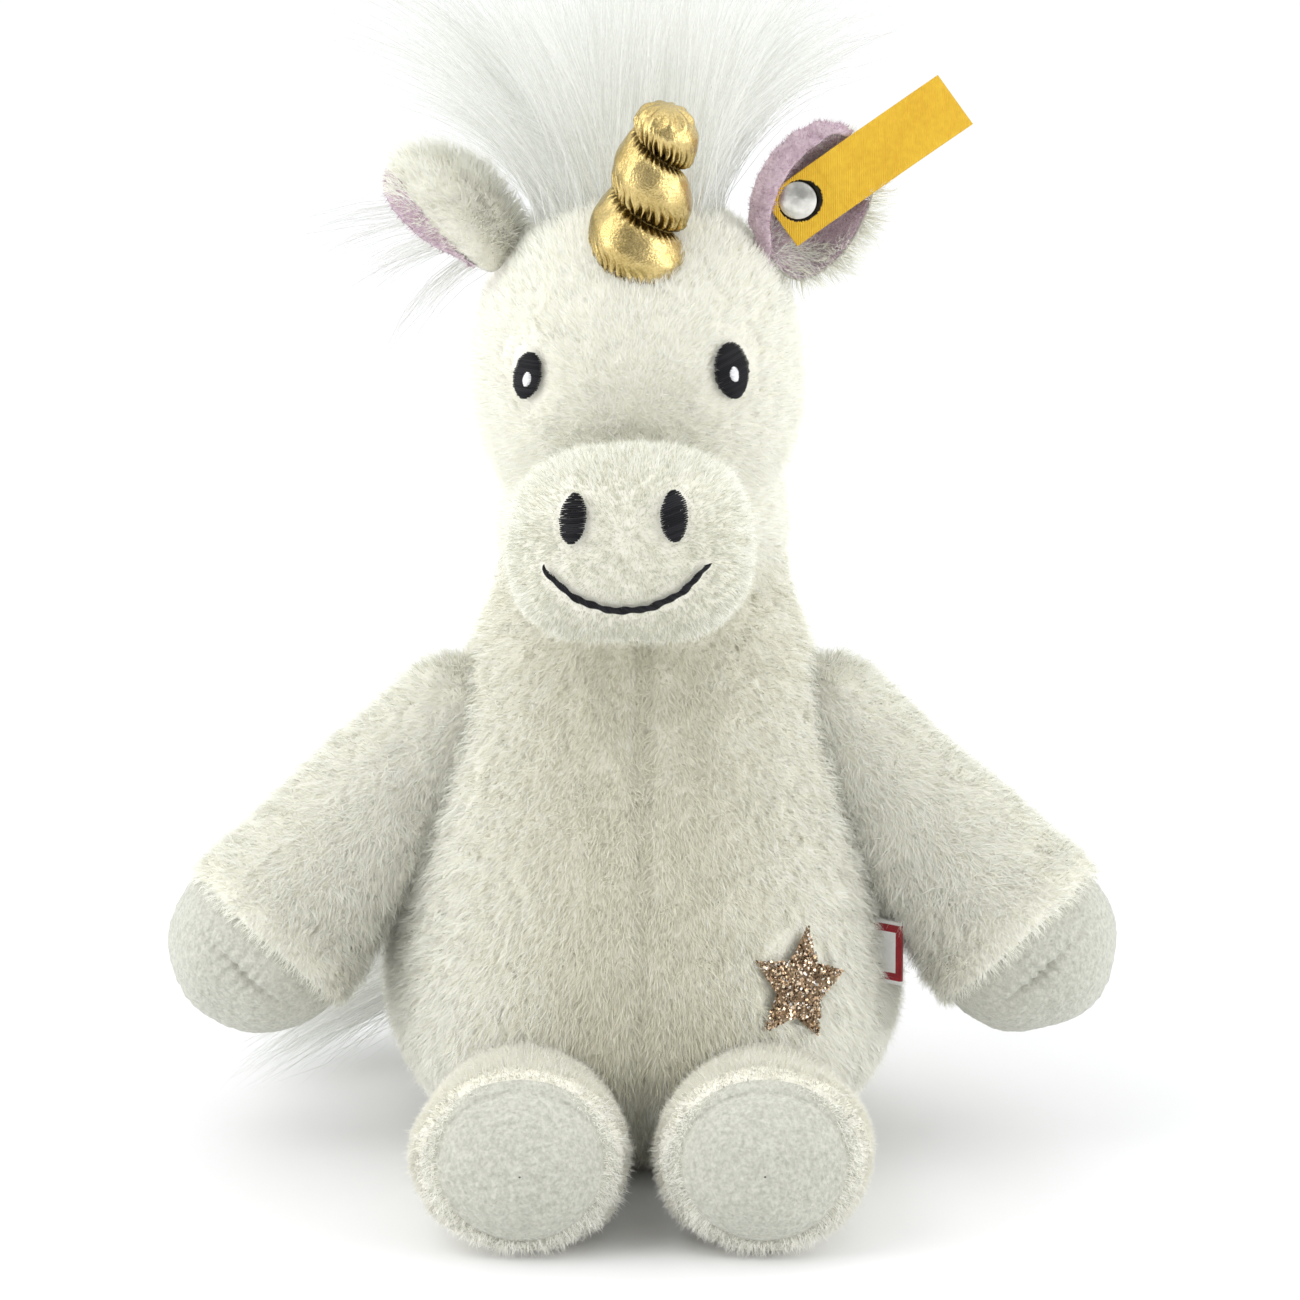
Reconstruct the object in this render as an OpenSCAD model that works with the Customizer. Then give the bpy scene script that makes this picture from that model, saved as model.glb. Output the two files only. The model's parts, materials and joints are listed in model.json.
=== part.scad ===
// Seated plush unicorn: sewn covers over fibre filling, with a bead pouch in the seat.
// It faces -Y with +Z up. The origin is the middle of the flat seat panel.
// Left and right are the toy's own sides, so left is +X.

/* [Fabric] */
// Thickness of the plush fabric with its pile pressed
cloth = 2; // [1:0.1:2.5]
// Thickness of embroidery and flat trim
trim = 0.6; // [0.4:0.1:1]
// Clearance between parts that move against each other
gap = 0.4; // [0.3:0.05:0.6]

/* [Torso] */
// Largest radius of the belly
belly_r = 50; // [46:1:52]
// Height of the widest part of the belly
belly_z = 30; // [28:1:32]
// Height of the rim that carries the neck
torso_top = 113; // [112:0.5:114]

/* [Neck and head] */
// Radius of the filled neck ball
neck_r = 26; // [24:0.5:27]
// Height of the neck ball's centre, about which the head turns and nods
neck_z = 122; // [121:0.5:123]
// Half width of the head
head_r = 31; // [29:0.5:33]
// Half height of the head
head_h = 36; // [34:0.5:38]
// Height of the head's middle
head_z = 150; // [148:1:151]
// How far the head looks towards the toy's right side
head_turn = 3; // [0:1:8]
// How far the head leans towards the toy's right side
head_lean = 2; // [0:1:4]

/* [Muzzle] */
// Radius of the muzzle roll
muzzle_r = 18; // [16:0.5:19]
// Half the straight width of the muzzle roll
muzzle_half = 4; // [2:0.5:5]

/* [Horn] */
// Radius of the horn at its foot
horn_r = 10; // [8:0.5:11]
// Length of the horn along its axis
horn_len = 36; // [34:1:40]
// Number of bulges between the wound grooves
horn_lobes = 3; // [2:1:4]

/* [Ears] */
// Radius of the round end of an ear
ear_r = 10; // [8:0.5:10]
// Distance from the ear's root to the middle of its round end
ear_reach = 16; // [14:0.5:17]
// Angle of the ears above the horizontal
ear_rise = 30; // [25:1:35]
// Length of the ribbon in the left ear
ribbon_len = 41; // [34:1:42]
// Width of the ribbon
ribbon_w = 11.5; // [10:0.5:12]
// Radius of the button that holds the ribbon
button_r = 3.6; // [3.5:0.1:4.5]

/* [Arms] */
// Radius of the arm at the shoulder
arm_r0 = 13; // [12:0.5:14]
// Radius of the arm at the hoof
arm_r1 = 19; // [17:0.5:19.5]
// Length of the bare hoof at the end of an arm
hoof_len = 23; // [20:1:28]

/* [Legs] */
// Radius of the leg at the hip
leg_r0 = 15.5; // [14.5:0.5:16]
// Radius of the foot
leg_r1 = 19.5; // [19:0.25:19.5]
// Length from the hip's centre to the middle of the sole
leg_len = 46; // [42:1:48]
// Sideways distance of each leg from the middle
leg_x = 22.5; // [21:0.5:24]

/* [Hidden] */

$fn = 72;
cream = "#f3ecdc";
velour = "#dcdcd8";
fibre = "#fafafa";
thread = "#141414";
foil = "#c8a040";
lilac = "#c9a9b4";

// Space left between a cover and its filling
slack = 0.2;
// Larger than the whole toy, for halving shapes
far = 300;

// The belly's low round and its upper side are two arcs that meet at belly_z
low_arc_r = 34;
low_arc_x = belly_r - low_arc_r;
side_arc_r = 110;
side_arc_x = belly_r - side_arc_r;
flank = 20;
seat_r = 31;

neck = [0, 0, neck_z];
head_cut = 119.5;
gusset_half = 11;
chin_seam_z = 140;
muzzle_pos = [0, -43, 126];
bridge_r = 15.5;
bridge_rise = 26;
bridge_len = 32;
eye_pos = [18.6, 155];
nostril_pos = [9.1, 135];
smile_half = 14.6;
smile_drop = 7.6;
smile_z = 126;
horn_pos = [0, -15, 172];

strip_w = 14;
strip_t = 1.2;
tuft_pos = [0, 12, 181];
tuft_h = 55;
tuft_r0 = 8;
tuft_r1 = 42;
tuft_edge = 10;
nape_w = 26;
nape_t = 14;

ear_root = [22, 0, 177];
ear_back_t = 2.5;
ear_lining_t = 1.2;
left_ear_twist = 0;
right_ear_twist = 120;
button_pos = [11.7, 0.5];
ribbon_turn = 4;
ribbon_end = 6;
ribbon_side = -1.4;
shank_r = 1.2;

arm_root = [36, -4, 82];
hoof_pos = [74, -16, 41];
// Angle between the arm's axis and the seam that crosses the front of the hoof
hoof_seam = 67;
arm_vec = hoof_pos - arm_root;
arm_len = norm(arm_vec);
arm_polar = acos(arm_vec[2] / arm_len);
arm_turn = atan2(arm_vec[1], arm_vec[0]);
// Distance of the torso's conical flank from the middle, square to the flank
flank_d = side_arc_x * cos(flank) + side_arc_r + belly_z * sin(flank);

// The leg rises towards the foot so that its underside lies along the floor
floor_gap = 0.3;
hip = [leg_x, -46, leg_r0 + floor_gap];
socket_shift = [0, -2, 3];
socket_gap = 4;
leg_rise = asin((leg_r1 - leg_r0) / leg_len);
toe_r = 9;
sole_r = leg_r1 - toe_r + toe_r * cos(55);
sole_z = leg_len - 7;

pouch_pos = [0, 8, 14];
pouch_r = 22;
pouch_h = 9;

star_r = 10;
star_inner = 4.8;
star_at = [36, 43];
label_at = 20;

tail_root = [0, 60.5, 22];
tail_vec = [-64, -20, -13];
tail_r0 = 5;
tail_r1 = 9;

// Points along an arc in the plane
function arc(r, cx, cy, a0, a1, n) =
    [for (i = [0 : n]) [cx + r * cos(a0 + (a1 - a0) * i / n),
                        cy + r * sin(a0 + (a1 - a0) * i / n)]];

// Half outline of the torso, grown by g
function torso_outline(g) =
    let (
        r = low_arc_r + g,
        side = arc(side_arc_r + g, side_arc_x, belly_z, 0, flank, 4),
        last = side[4],
        top = torso_top + g
    )
    concat(
        [[0, -g]],
        arc(r, low_arc_x, belly_z, -asin((belly_z + g) / r), 0, 8),
        [for (i = [1 : 4]) side[i]],
        [[last[0] - (top - last[1]) * tan(flank), top], [0, top]]
    );

// Half outline of a limb with a round root of radius r0 and a round end of radius r1
function limb_outline(r0, r1, len, g) =
    let (lean = asin((r1 - r0) / len))
    concat(
        arc(r0 + g, 0, 0, -90, -lean, 6),
        arc(r1 + g, 0, len, -lean, 90, 8)
    );

// Half outline of a leg: a round hip, a foot with a rounded edge and a domed sole
function leg_outline(g) =
    let (
        edge_z = sole_z - toe_r * sin(55),
        rise = leg_len - sole_z,
        dome = (sole_r * sole_r + rise * rise) / (2 * rise)
    )
    concat(
        arc(leg_r0 + g, 0, 0, -90, -leg_rise, 6),
        arc(toe_r + g, leg_r1 - toe_r, edge_z, 0, 55, 4),
        arc(dome + g, 0, leg_len - dome, 55, 90, 5)
    );

// Half outline of the horn, pinched between its bulges
function horn_outline(g) =
    concat(
        [[0, 0]],
        [for (i = [0 : 24])
            let (t = i / 24, r = horn_r * (1 - 0.62 * t))
            [r * (0.8 + 0.2 * abs(sin(180 * horn_lobes * t))) + g, horn_len * t]],
        [[0, horn_len + 2 + g]]
    );

module on_head() {
    translate(neck) rotate([0, -head_lean, 0]) rotate([0, 0, -head_turn]) translate(-neck)
        children();
}

module mirrored(side) {
    if (side > 0) children();
    else mirror([1, 0, 0]) children();
}

module neck_ball(g) {
    translate(neck) sphere(r = neck_r + g);
}

// Hollows in the body's front that leave room for the legs to lift
module hip_sockets() {
    for (side = [-1, 1])
        translate([side * hip[0], hip[1], hip[2]] + socket_shift) sphere(r = leg_r0 + socket_gap);
}

module torso(g) {
    rotate_extrude() polygon(torso_outline(g));
}

// One quarter of the torso's cover: side is 1 for left, face is -1 for front
module body_quarter(side, face) {
    color(cream) intersection() {
        difference() {
            torso(0);
            torso(-cloth);
            cylinder(r = seat_r, h = cloth * 3, center = true);
            neck_ball(gap);
            hip_sockets();
        }
        translate([side > 0 ? 0 : -far, face > 0 ? 0 : -far, -far / 2]) cube([far, far, far * 2]);
    }
}

module seat_panel() {
    color(cream) cylinder(r = seat_r, h = cloth);
}

module pouch(g) {
    translate(pouch_pos) rotate_extrude() polygon(concat(
        [[0, -pouch_h - g]],
        arc(pouch_h + g, pouch_r - pouch_h, 0, -90, 90, 10),
        [[0, pouch_h + g]]
    ));
}

module body_stuffing() {
    color(fibre) difference() {
        torso(-cloth - slack);
        neck_ball(gap);
        hip_sockets();
        pouch(slack);
    }
}

module pellet_pouch() {
    color("#e8e4da") difference() {
        pouch(0);
        pouch(-0.8);
    }
}

module seat_pellets() {
    color("#cfd4d6") pouch(-1);
}

module star_patch() {
    color("#c0a070") intersection() {
        difference() {
            torso(trim);
            torso(0.02);
        }
        rotate([0, 0, star_at[0] - 90]) translate([0, 0, star_at[1]]) rotate([0, 90, 0])
            linear_extrude(far)
                polygon([for (i = [0 : 9])
                    let (r = i % 2 == 0 ? star_r : star_inner, a = i * 36 + 170)
                    [r * cos(a), r * sin(a)]]);
    }
}

module side_label() {
    color("white") rotate([0, 0, -label_at])
        translate([belly_r - 0.1, -trim, 32.5]) cube([4.5, 2 * trim, 12.5]);
}

module neck_stuffing() {
    color(fibre) neck_ball(0);
}

module head_egg(g) {
    translate([0, 0, head_z]) rotate_extrude() polygon([for (i = [0 : 24])
        [(head_r + g) * cos(i * 7.5 - 90), (head_h + g) * sin(i * 7.5 - 90)]]);
}

module head_shell() {
    difference() {
        head_egg(0);
        head_egg(-cloth);
        neck_ball(gap);
        translate([-far, -far, head_cut - far]) cube([2 * far, 2 * far, far]);
    }
}

module head_side(side) {
    color(cream) on_head() intersection() {
        head_shell();
        mirrored(side) translate([gusset_half, -far, 0]) cube([far, 2 * far, far]);
    }
}

// The front of the strip between the head sides, below the muzzle's upper seam
module below_muzzle_seam() {
    translate([-gusset_half, -far, 0]) cube([2 * gusset_half, far, chin_seam_z]);
}

module chin_panel() {
    color(cream) on_head() intersection() {
        head_shell();
        below_muzzle_seam();
    }
}

// The strip between the head sides, from the muzzle over the crown and down the nape
module forehead_gusset() {
    color(cream) on_head() difference() {
        intersection() {
            head_shell();
            translate([-gusset_half, -far, 0]) cube([2 * gusset_half, 2 * far, far]);
        }
        below_muzzle_seam();
    }
}

module head_stuffing() {
    color(fibre) on_head() difference() {
        head_egg(-cloth - slack);
        neck_ball(gap);
        translate([-far, -far, head_cut - far]) cube([2 * far, 2 * far, far]);
    }
}

// A roll across the face, joined to the head by a round bridge that rises backwards
module muzzle(g) {
    translate(muzzle_pos) {
        rotate([0, 90, 0]) cylinder(r = muzzle_r + g, h = 2 * muzzle_half, center = true);
        for (side = [-1, 1])
            translate([side * muzzle_half, 0, 0]) sphere(r = muzzle_r + g);
        rotate([bridge_rise - 90, 0, 0]) cylinder(r = bridge_r + g, h = bridge_len);
    }
}

module muzzle_cover() {
    color(cream) on_head() difference() {
        muzzle(0);
        muzzle(-cloth);
        head_egg(0.02);
        neck_ball(gap);
    }
}

module muzzle_stuffing() {
    color(fibre) on_head() difference() {
        muzzle(-cloth - slack);
        head_egg(slack);
        neck_ball(gap);
    }
}

// An oval column that stands out in front, for cutting a patch of embroidery
module oval(x, z, w, h, tilt) {
    translate([x, 0, z]) rotate([90, 0, 0]) rotate([0, 0, tilt])
        linear_extrude(far) polygon([for (i = [0 : 23]) [w / 2 * cos(i * 15), h / 2 * sin(i * 15)]]);
}

module eye_oval(side) {
    oval(side * eye_pos[0], eye_pos[1], 6, 10.2, side * 12);
}

module highlight_oval(side) {
    oval(side * eye_pos[0] - side * 0.4, eye_pos[1] - 0.8, 1.8, 3.4, side * 12);
}

module eye(side) {
    color(thread) on_head() intersection() {
        difference() {
            head_egg(trim);
            head_egg(0.02);
            highlight_oval(side);
        }
        eye_oval(side);
    }
}

module eye_highlight(side) {
    color("white") on_head() intersection() {
        difference() {
            head_egg(trim);
            head_egg(0.02);
        }
        highlight_oval(side);
    }
}

module on_muzzle() {
    color(thread) on_head() intersection() {
        difference() {
            muzzle(trim);
            muzzle(0.02);
        }
        translate([0, muzzle_pos[1], 0]) children();
    }
}

module nostril(side) {
    on_muzzle() oval(side * nostril_pos[0], nostril_pos[1], 4.6, 8, side * 6);
}

module smile_line() {
    outer = (smile_half * smile_half + smile_drop * smile_drop) / (2 * smile_drop);
    half = asin(smile_half / outer);
    thick = 1.1;
    inner_drop = smile_drop - thick;
    inner = (smile_half * smile_half + inner_drop * inner_drop) / (2 * inner_drop);
    inner_half = asin(smile_half / inner);
    on_muzzle() translate([0, 0, smile_z]) rotate([90, 0, 0]) linear_extrude(far)
        polygon(concat(
            arc(outer, 0, outer - smile_drop, -90 - half, -90 + half, 16),
            [for (i = [15 : -1 : 1])
                arc(inner, 0, inner - inner_drop, -90 - inner_half, -90 + inner_half, 16)[i]]
        ));
}

module at_horn() {
    on_head() translate(horn_pos) rotate([12, 0, 0]) rotate([0, 15, 0]) children();
}

module horn_solid(g) {
    difference() {
        at_horn() rotate_extrude() polygon(horn_outline(g));
        on_head() head_egg(0.05 - min(g, 0));
    }
}

module horn_cover() {
    color(foil) difference() {
        horn_solid(0);
        at_horn() rotate_extrude() polygon(horn_outline(-1));
    }
}

module horn_stuffing() {
    color(fibre) horn_solid(-1.2);
}

// Two rings of thread that pull the horn in between its bulges
module horn_thread() {
    color("#8a6a20") at_horn()
        for (i = [1 : horn_lobes - 1])
            let (t = i / horn_lobes)
            translate([0, 0, horn_len * t]) rotate_extrude()
                translate([horn_r * (1 - 0.62 * t) * 0.8 + 0.35, 0]) circle(r = 0.3, $fn = 16);
}

module mane_strip() {
    color("#efece6") on_head() intersection() {
        difference() {
            head_egg(strip_t);
            head_egg(0.02);
        }
        translate([-strip_w / 2, -3, head_z]) cube([strip_w, far, far]);
    }
}

// Long pile: a tuft that opens upwards behind the horn, and a fall of hair down the nape
module mane_hair() {
    color("white") on_head() difference() {
        union() {
            translate(tuft_pos) rotate_extrude() polygon(concat(
                [[0, 0], [tuft_r0, 0]],
                arc(tuft_edge, tuft_r1 - tuft_edge, tuft_h - tuft_edge, -20, 90, 6),
                [[0, tuft_h]]
            ));
            rotate([90, 0, 90]) linear_extrude(nape_w, center = true) polygon(concat(
                [for (i = [0 : 12])
                    [(head_r + nape_t) * cos(i * 7.5 - 18), head_z + (head_h + nape_t) * sin(i * 7.5 - 18)]],
                [[0, head_z], [head_r / 2, head_z - head_h / 4]]
            ));
        }
        head_egg(strip_t + slack);
    }
}

module at_ear(side, twist) {
    on_head() mirrored(side) translate(ear_root) rotate([0, -ear_rise, 0]) rotate([twist, 0, 0])
        children();
}

// A drop-shaped ear panel: its root is a point and its end is round
module ear_panel(grow, thick) {
    lean = asin(ear_r / ear_reach);
    rotate([90, 0, 0]) linear_extrude(thick) polygon(concat(
        [[0, 0]],
        arc(ear_r + grow, ear_reach, 0, -90 - lean, 90 + lean, 20)
    ));
}

module shank_hole() {
    translate([button_pos[0], 0, button_pos[1]]) rotate([90, 0, 0])
        cylinder(r = shank_r + 0.05, h = 20, center = true);
}

module ear_back(side, twist) {
    color(cream) at_ear(side, twist) difference() {
        translate([0, ear_back_t, 0]) ear_panel(0, ear_back_t);
        if (side > 0) shank_hole();
    }
}

module ear_lining(side, twist) {
    color(lilac) at_ear(side, twist) difference() {
        ear_panel(-1.5, ear_lining_t);
        if (side > 0) shank_hole();
    }
}

module at_button() {
    at_ear(1, left_ear_twist) translate([button_pos[0], -ear_lining_t, button_pos[1]])
        rotate([90, 0, 0]) children();
}

module ear_ribbon() {
    color("#f0b020") at_button() difference() {
        translate([0, 0, 0.1]) rotate([0, 0, ribbon_turn])
            translate([-ribbon_end, ribbon_side - ribbon_w / 2, 0]) cube([ribbon_len, ribbon_w, 0.5]);
        cylinder(r = shank_r + 0.15, h = 5, center = true);
    }
}

module button_cap() {
    dome = 9;
    color("#c9ccd0") at_button() union() {
        translate([0, 0, -5]) cylinder(r = shank_r, h = 5.9);
        translate([0, 0, 0.8]) rotate_extrude() polygon(concat(
            [[0, 0], [button_r, 0]],
            [for (i = [0 : 8])
                let (a = asin(button_r / dome) * (1 - i / 8))
                [dome * sin(a), 0.6 + dome * cos(a) - sqrt(dome * dome - button_r * button_r)]]
        ));
    }
}

module button_washer() {
    color("#c9ccd0") at_button() translate([0, 0, -ear_back_t - ear_lining_t - 0.7]) difference() {
        cylinder(r = 3.5, h = 0.6);
        cylinder(r = shank_r + 0.05, h = 3, center = true);
    }
}

module at_arm() {
    translate(arm_root) rotate([0, arm_polar, arm_turn]) children();
}

module arm_solid(g) {
    at_arm() rotate_extrude() polygon(limb_outline(arm_r0, arm_r1, arm_len, g));
}

// The half space outside the torso's flank, where the arm is sewn on
module beside_flank(g) {
    rotate([0, -flank, 0]) translate([flank_d + g, -far, -far]) cube([far, 2 * far, 2 * far]);
}

module arm_cut() {
    at_arm() translate([-far, -far, arm_len + arm_r1 - hoof_len]) cube([2 * far, 2 * far, far]);
}

module arm_cover(side) {
    color(cream) mirrored(side) intersection() {
        difference() {
            arm_solid(0);
            arm_solid(-cloth);
            arm_cut();
        }
        beside_flank(gap);
    }
}

module arm_stuffing(side) {
    color(fibre) mirrored(side) intersection() {
        arm_solid(-cloth - slack);
        beside_flank(gap);
    }
}

// One panel of the bare hoof: face is -1 for the front and 1 for the end and the back
module hoof(side, face) {
    color(velour) mirrored(side) intersection() {
        difference() {
            arm_solid(0);
            arm_solid(-cloth);
        }
        arm_cut();
        at_arm() translate([0, 0, arm_len]) rotate([hoof_seam, 0, 0])
            translate([-far, face > 0 ? 0 : -far, -far]) cube([2 * far, far, 2 * far]);
    }
}

module at_leg() {
    translate(hip) rotate([90 - leg_rise, 0, 0]) children();
}

module leg_solid(g) {
    at_leg() rotate_extrude() polygon(leg_outline(g));
}

module sole_plug() {
    at_leg() translate([0, 0, leg_len / 2]) cylinder(r = sole_r, h = far);
}

module leg_cover(side) {
    color(cream) mirrored(side) difference() {
        leg_solid(0);
        leg_solid(-cloth);
        sole_plug();
    }
}

module leg_stuffing(side) {
    color(fibre) mirrored(side) leg_solid(-cloth - slack);
}

module sole(side) {
    color(velour) mirrored(side) intersection() {
        difference() {
            leg_solid(0);
            leg_solid(-cloth);
        }
        sole_plug();
    }
}

module tail_tape() {
    color("#efece6") translate([-3, belly_r + gap, tail_root[2] - 5]) cube([6, 3, 10]);
}

module tail_hair() {
    len = norm(tail_vec);
    color("white") translate(tail_root)
        rotate([0, acos(tail_vec[2] / len), atan2(tail_vec[1], tail_vec[0])])
            rotate_extrude() polygon(limb_outline(tail_r0, tail_r1, len, 0));
}

body_quarter(1, -1);  // body_front_left
body_quarter(-1, -1);  // body_front_right
body_quarter(1, 1);  // body_back_left
body_quarter(-1, 1);  // body_back_right
seat_panel();
body_stuffing();
pellet_pouch();
seat_pellets();
star_patch();
side_label();
neck_stuffing();
head_side(1);  // head_side_left
head_side(-1);  // head_side_right
forehead_gusset();
chin_panel();
head_stuffing();
muzzle_cover();
muzzle_stuffing();
eye(1);  // eye_left
eye(-1);  // eye_right
eye_highlight(1);  // eye_highlight_left
eye_highlight(-1);  // eye_highlight_right
nostril(1);  // nostril_left
nostril(-1);  // nostril_right
smile_line();
horn_cover();
horn_stuffing();
horn_thread();
mane_strip();
mane_hair();
ear_back(1, left_ear_twist);  // ear_back_left
ear_lining(1, left_ear_twist);  // ear_lining_left
ear_back(-1, right_ear_twist);  // ear_back_right
ear_lining(-1, right_ear_twist);  // ear_lining_right
ear_ribbon();
button_cap();
button_washer();
arm_cover(1);  // arm_cover_left
arm_stuffing(1);  // arm_stuffing_left
hoof(1, -1);  // hoof_front_left
hoof(1, 1);  // hoof_back_left
arm_cover(-1);  // arm_cover_right
arm_stuffing(-1);  // arm_stuffing_right
hoof(-1, -1);  // hoof_front_right
hoof(-1, 1);  // hoof_back_right
leg_cover(1);  // leg_cover_left
leg_stuffing(1);  // leg_stuffing_left
sole(1);  // sole_left
leg_cover(-1);  // leg_cover_right
leg_stuffing(-1);  // leg_stuffing_right
sole(-1);  // sole_right
tail_tape();
tail_hair();
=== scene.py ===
"""Looks of the plush unicorn: furry skins, velour hooves, foil horn, embroidery, long hair and trims.

The shapes are worked out in millimetres in the frame's own axes (the toy faces -Y, its left side is +X) and become
metres when a mesh is made.
"""

import json
import math

import bmesh
import bpy
import numpy as np
from mathutils import Matrix, Vector
from mathutils.bvhtree import BVHTree


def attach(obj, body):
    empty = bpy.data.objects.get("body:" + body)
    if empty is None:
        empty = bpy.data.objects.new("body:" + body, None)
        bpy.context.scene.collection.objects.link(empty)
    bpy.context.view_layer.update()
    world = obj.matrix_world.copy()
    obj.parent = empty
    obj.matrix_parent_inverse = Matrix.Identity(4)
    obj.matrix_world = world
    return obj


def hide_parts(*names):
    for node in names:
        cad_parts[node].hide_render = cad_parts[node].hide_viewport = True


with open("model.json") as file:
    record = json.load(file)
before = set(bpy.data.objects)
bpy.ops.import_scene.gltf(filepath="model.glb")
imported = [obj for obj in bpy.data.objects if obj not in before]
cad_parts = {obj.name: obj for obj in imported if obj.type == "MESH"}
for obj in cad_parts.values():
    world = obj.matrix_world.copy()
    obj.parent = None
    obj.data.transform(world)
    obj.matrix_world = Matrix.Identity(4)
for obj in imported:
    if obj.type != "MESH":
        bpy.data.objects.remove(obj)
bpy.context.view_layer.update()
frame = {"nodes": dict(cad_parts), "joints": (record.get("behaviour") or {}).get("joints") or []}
MM = 0.001
JOINTS = {j["name"]: j for j in frame["joints"]}
SIDES = {"left": 1, "right": -1}
LEVEL = np.array([1.0, 1.0, 0.0])

# ---------------------------------------------------------------- sizes, in millimetres and degrees

BELLY_R, BELLY_Z = 50.0, 30.0
LOW_ARC_R, SIDE_ARC_R, FLANK = 34.0, 110.0, 20.0
TORSO_TOP, NECK_R = 113.0, 26.5
HEAD_R, HEAD_H, HEAD_Z = 31.0, 36.0, 150.0
SKIN_INSET = 1.4
MUZZLE = np.array([0.0, -42.5, 125.8])
MUZZLE_HALF = np.array([23.4, 18.8, 19.0])
ARM_ROOT, HOOF_POS = np.array([36.0, -4.0, 82.0]), np.array([74.0, -16.0, 41.0])
ARM_R0, ARM_R1, HOOF_LEN = 13.0, 19.0, 23.0
LEG_R0, LEG_R1, LEG_LEN, TOE_R = 15.5, 19.5, 46.0, 9.0
EYE_X, EYE_Z, EYE_W, EYE_H, EYE_TILT = 18.6, 155.0, 6.0, 10.2, 12.0
NOSTRIL_X, NOSTRIL_Z, NOSTRIL_W, NOSTRIL_H = 9.1, 134.2, 4.8, 8.2
SMILE_HALF, SMILE_DROP, SMILE_Z = 14.6, 7.6, 125.4
SMILE_R = (SMILE_HALF ** 2 + SMILE_DROP ** 2) / (2 * SMILE_DROP)
STAR_AZIMUTH, STAR_Z, STAR_R, STAR_NOTCH, STAR_TURN = 36.0, 43.0, 11.4, 5.6, -15.0


def joint_place(name):
    """A joint's point, in millimetres."""
    return np.array(JOINTS[name]["pos_m"]) / MM


def unit(v):
    v = np.asarray(v, float)
    return v / np.maximum(np.linalg.norm(v, axis=-1, keepdims=True), 1e-9)


NECK = joint_place("neck_turn")
HEAD_X = unit(JOINTS["head_nod"]["axis"])
HEAD_Y = unit(JOINTS["left_ear_flop"]["axis"])
HEAD_AXES = np.stack([HEAD_X, HEAD_Y, np.cross(HEAD_X, HEAD_Y)], axis=1)


def head_point(p):
    """From the head's own upright frame to the toy's frame."""
    return NECK + (np.asarray(p, float) - NECK) @ HEAD_AXES.T


def to_head(p):
    """From the toy's frame to the head's own upright frame."""
    return NECK + (np.asarray(p, float) - NECK) @ HEAD_AXES


def mirrored(p, side):
    return np.asarray(p, float) * np.array([side, 1.0, 1.0])


def lumps(p, size, seed, waves=9):
    """Smooth noise from -1 to 1 with bumps of about that size."""
    rng = np.random.default_rng(seed)
    total = np.zeros(len(p))
    for _ in range(waves):
        direction = unit(rng.normal(size=3))
        stretch = rng.uniform(0.7, 1.5)
        total += np.sin(2 * math.pi * (p @ direction) / (size * stretch) + rng.uniform(0, 2 * math.pi))
    return total / (waves * 0.5)


# ---------------------------------------------------------------- materials

CREAM_TINTS = [(0.965, 0.96, 0.87), (0.955, 0.945, 0.82), (0.97, 0.967, 0.91)]
# Darker, warmer copies of the cream pile: painted shade for the middle of the body's front.
BELLY_SHADE_TINTS = [(0.81, 0.79, 0.65), (0.77, 0.745, 0.59), (0.86, 0.84, 0.715)]
# Darker copies of the cream pile: painted shade for the front of the muzzle.
MUZZLE_SHADE_TINTS = [(0.68, 0.68, 0.57), (0.62, 0.615, 0.49), (0.75, 0.75, 0.65)]
# Whiter copies of the cream pile: painted light for the legs and the rims round the soles.
LEG_LIT_TINTS = [(0.985, 0.975, 0.91), (0.975, 0.96, 0.87), (0.985, 0.98, 0.935)]
HAIR_TINTS = [(0.81, 0.82, 0.785), (0.71, 0.72, 0.685), (0.88, 0.885, 0.855)]
LILAC_TINTS = [(0.57, 0.41, 0.49), (0.74, 0.60, 0.66), (0.42, 0.28, 0.35)]

PILE = {"roughness": 0.85, "sheen": 0.25, "specular": 0.15}
RAMP_ENDS = (0.36, 0.62)


def plain_material(name, color, roughness=0.8, metallic=0.0, sheen=0.0, specular=0.3):
    """A material whose values are the same all over, for strands, threads and flakes."""
    m = bpy.data.materials.new(name)
    m.use_nodes = True
    values = {"Base Color": (*color, 1), "Roughness": roughness, "Metallic": metallic,
              "Specular IOR Level": specular, "Sheen Weight": sheen, "Sheen Roughness": 0.5}
    for socket, value in values.items():
        m.node_tree.nodes["Principled BSDF"].inputs[socket].default_value = value
    return m


def tinted(name, tints, **look):
    return [plain_material(f"{name}_{i}", t, **look) for i, t in enumerate(tints)]


def fill_sockets(tree, pairs):
    """Gives each socket its value, or links it to the output that stands for it."""
    for socket, value in pairs:
        if isinstance(value, bpy.types.NodeSocket):
            tree.links.new(value, socket)
        else:
            socket.default_value = value


def add_node(tree, kind, **inputs):
    node = tree.nodes.new("ShaderNode" + kind)
    fill_sockets(tree, [(node.inputs[name], value) for name, value in inputs.items()])
    return node


def math_node(tree, operation, a, b):
    node = tree.nodes.new("ShaderNodeMath")
    node.operation = operation
    fill_sockets(tree, zip(node.inputs, (a, b)))
    return node.outputs[0]


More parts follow.
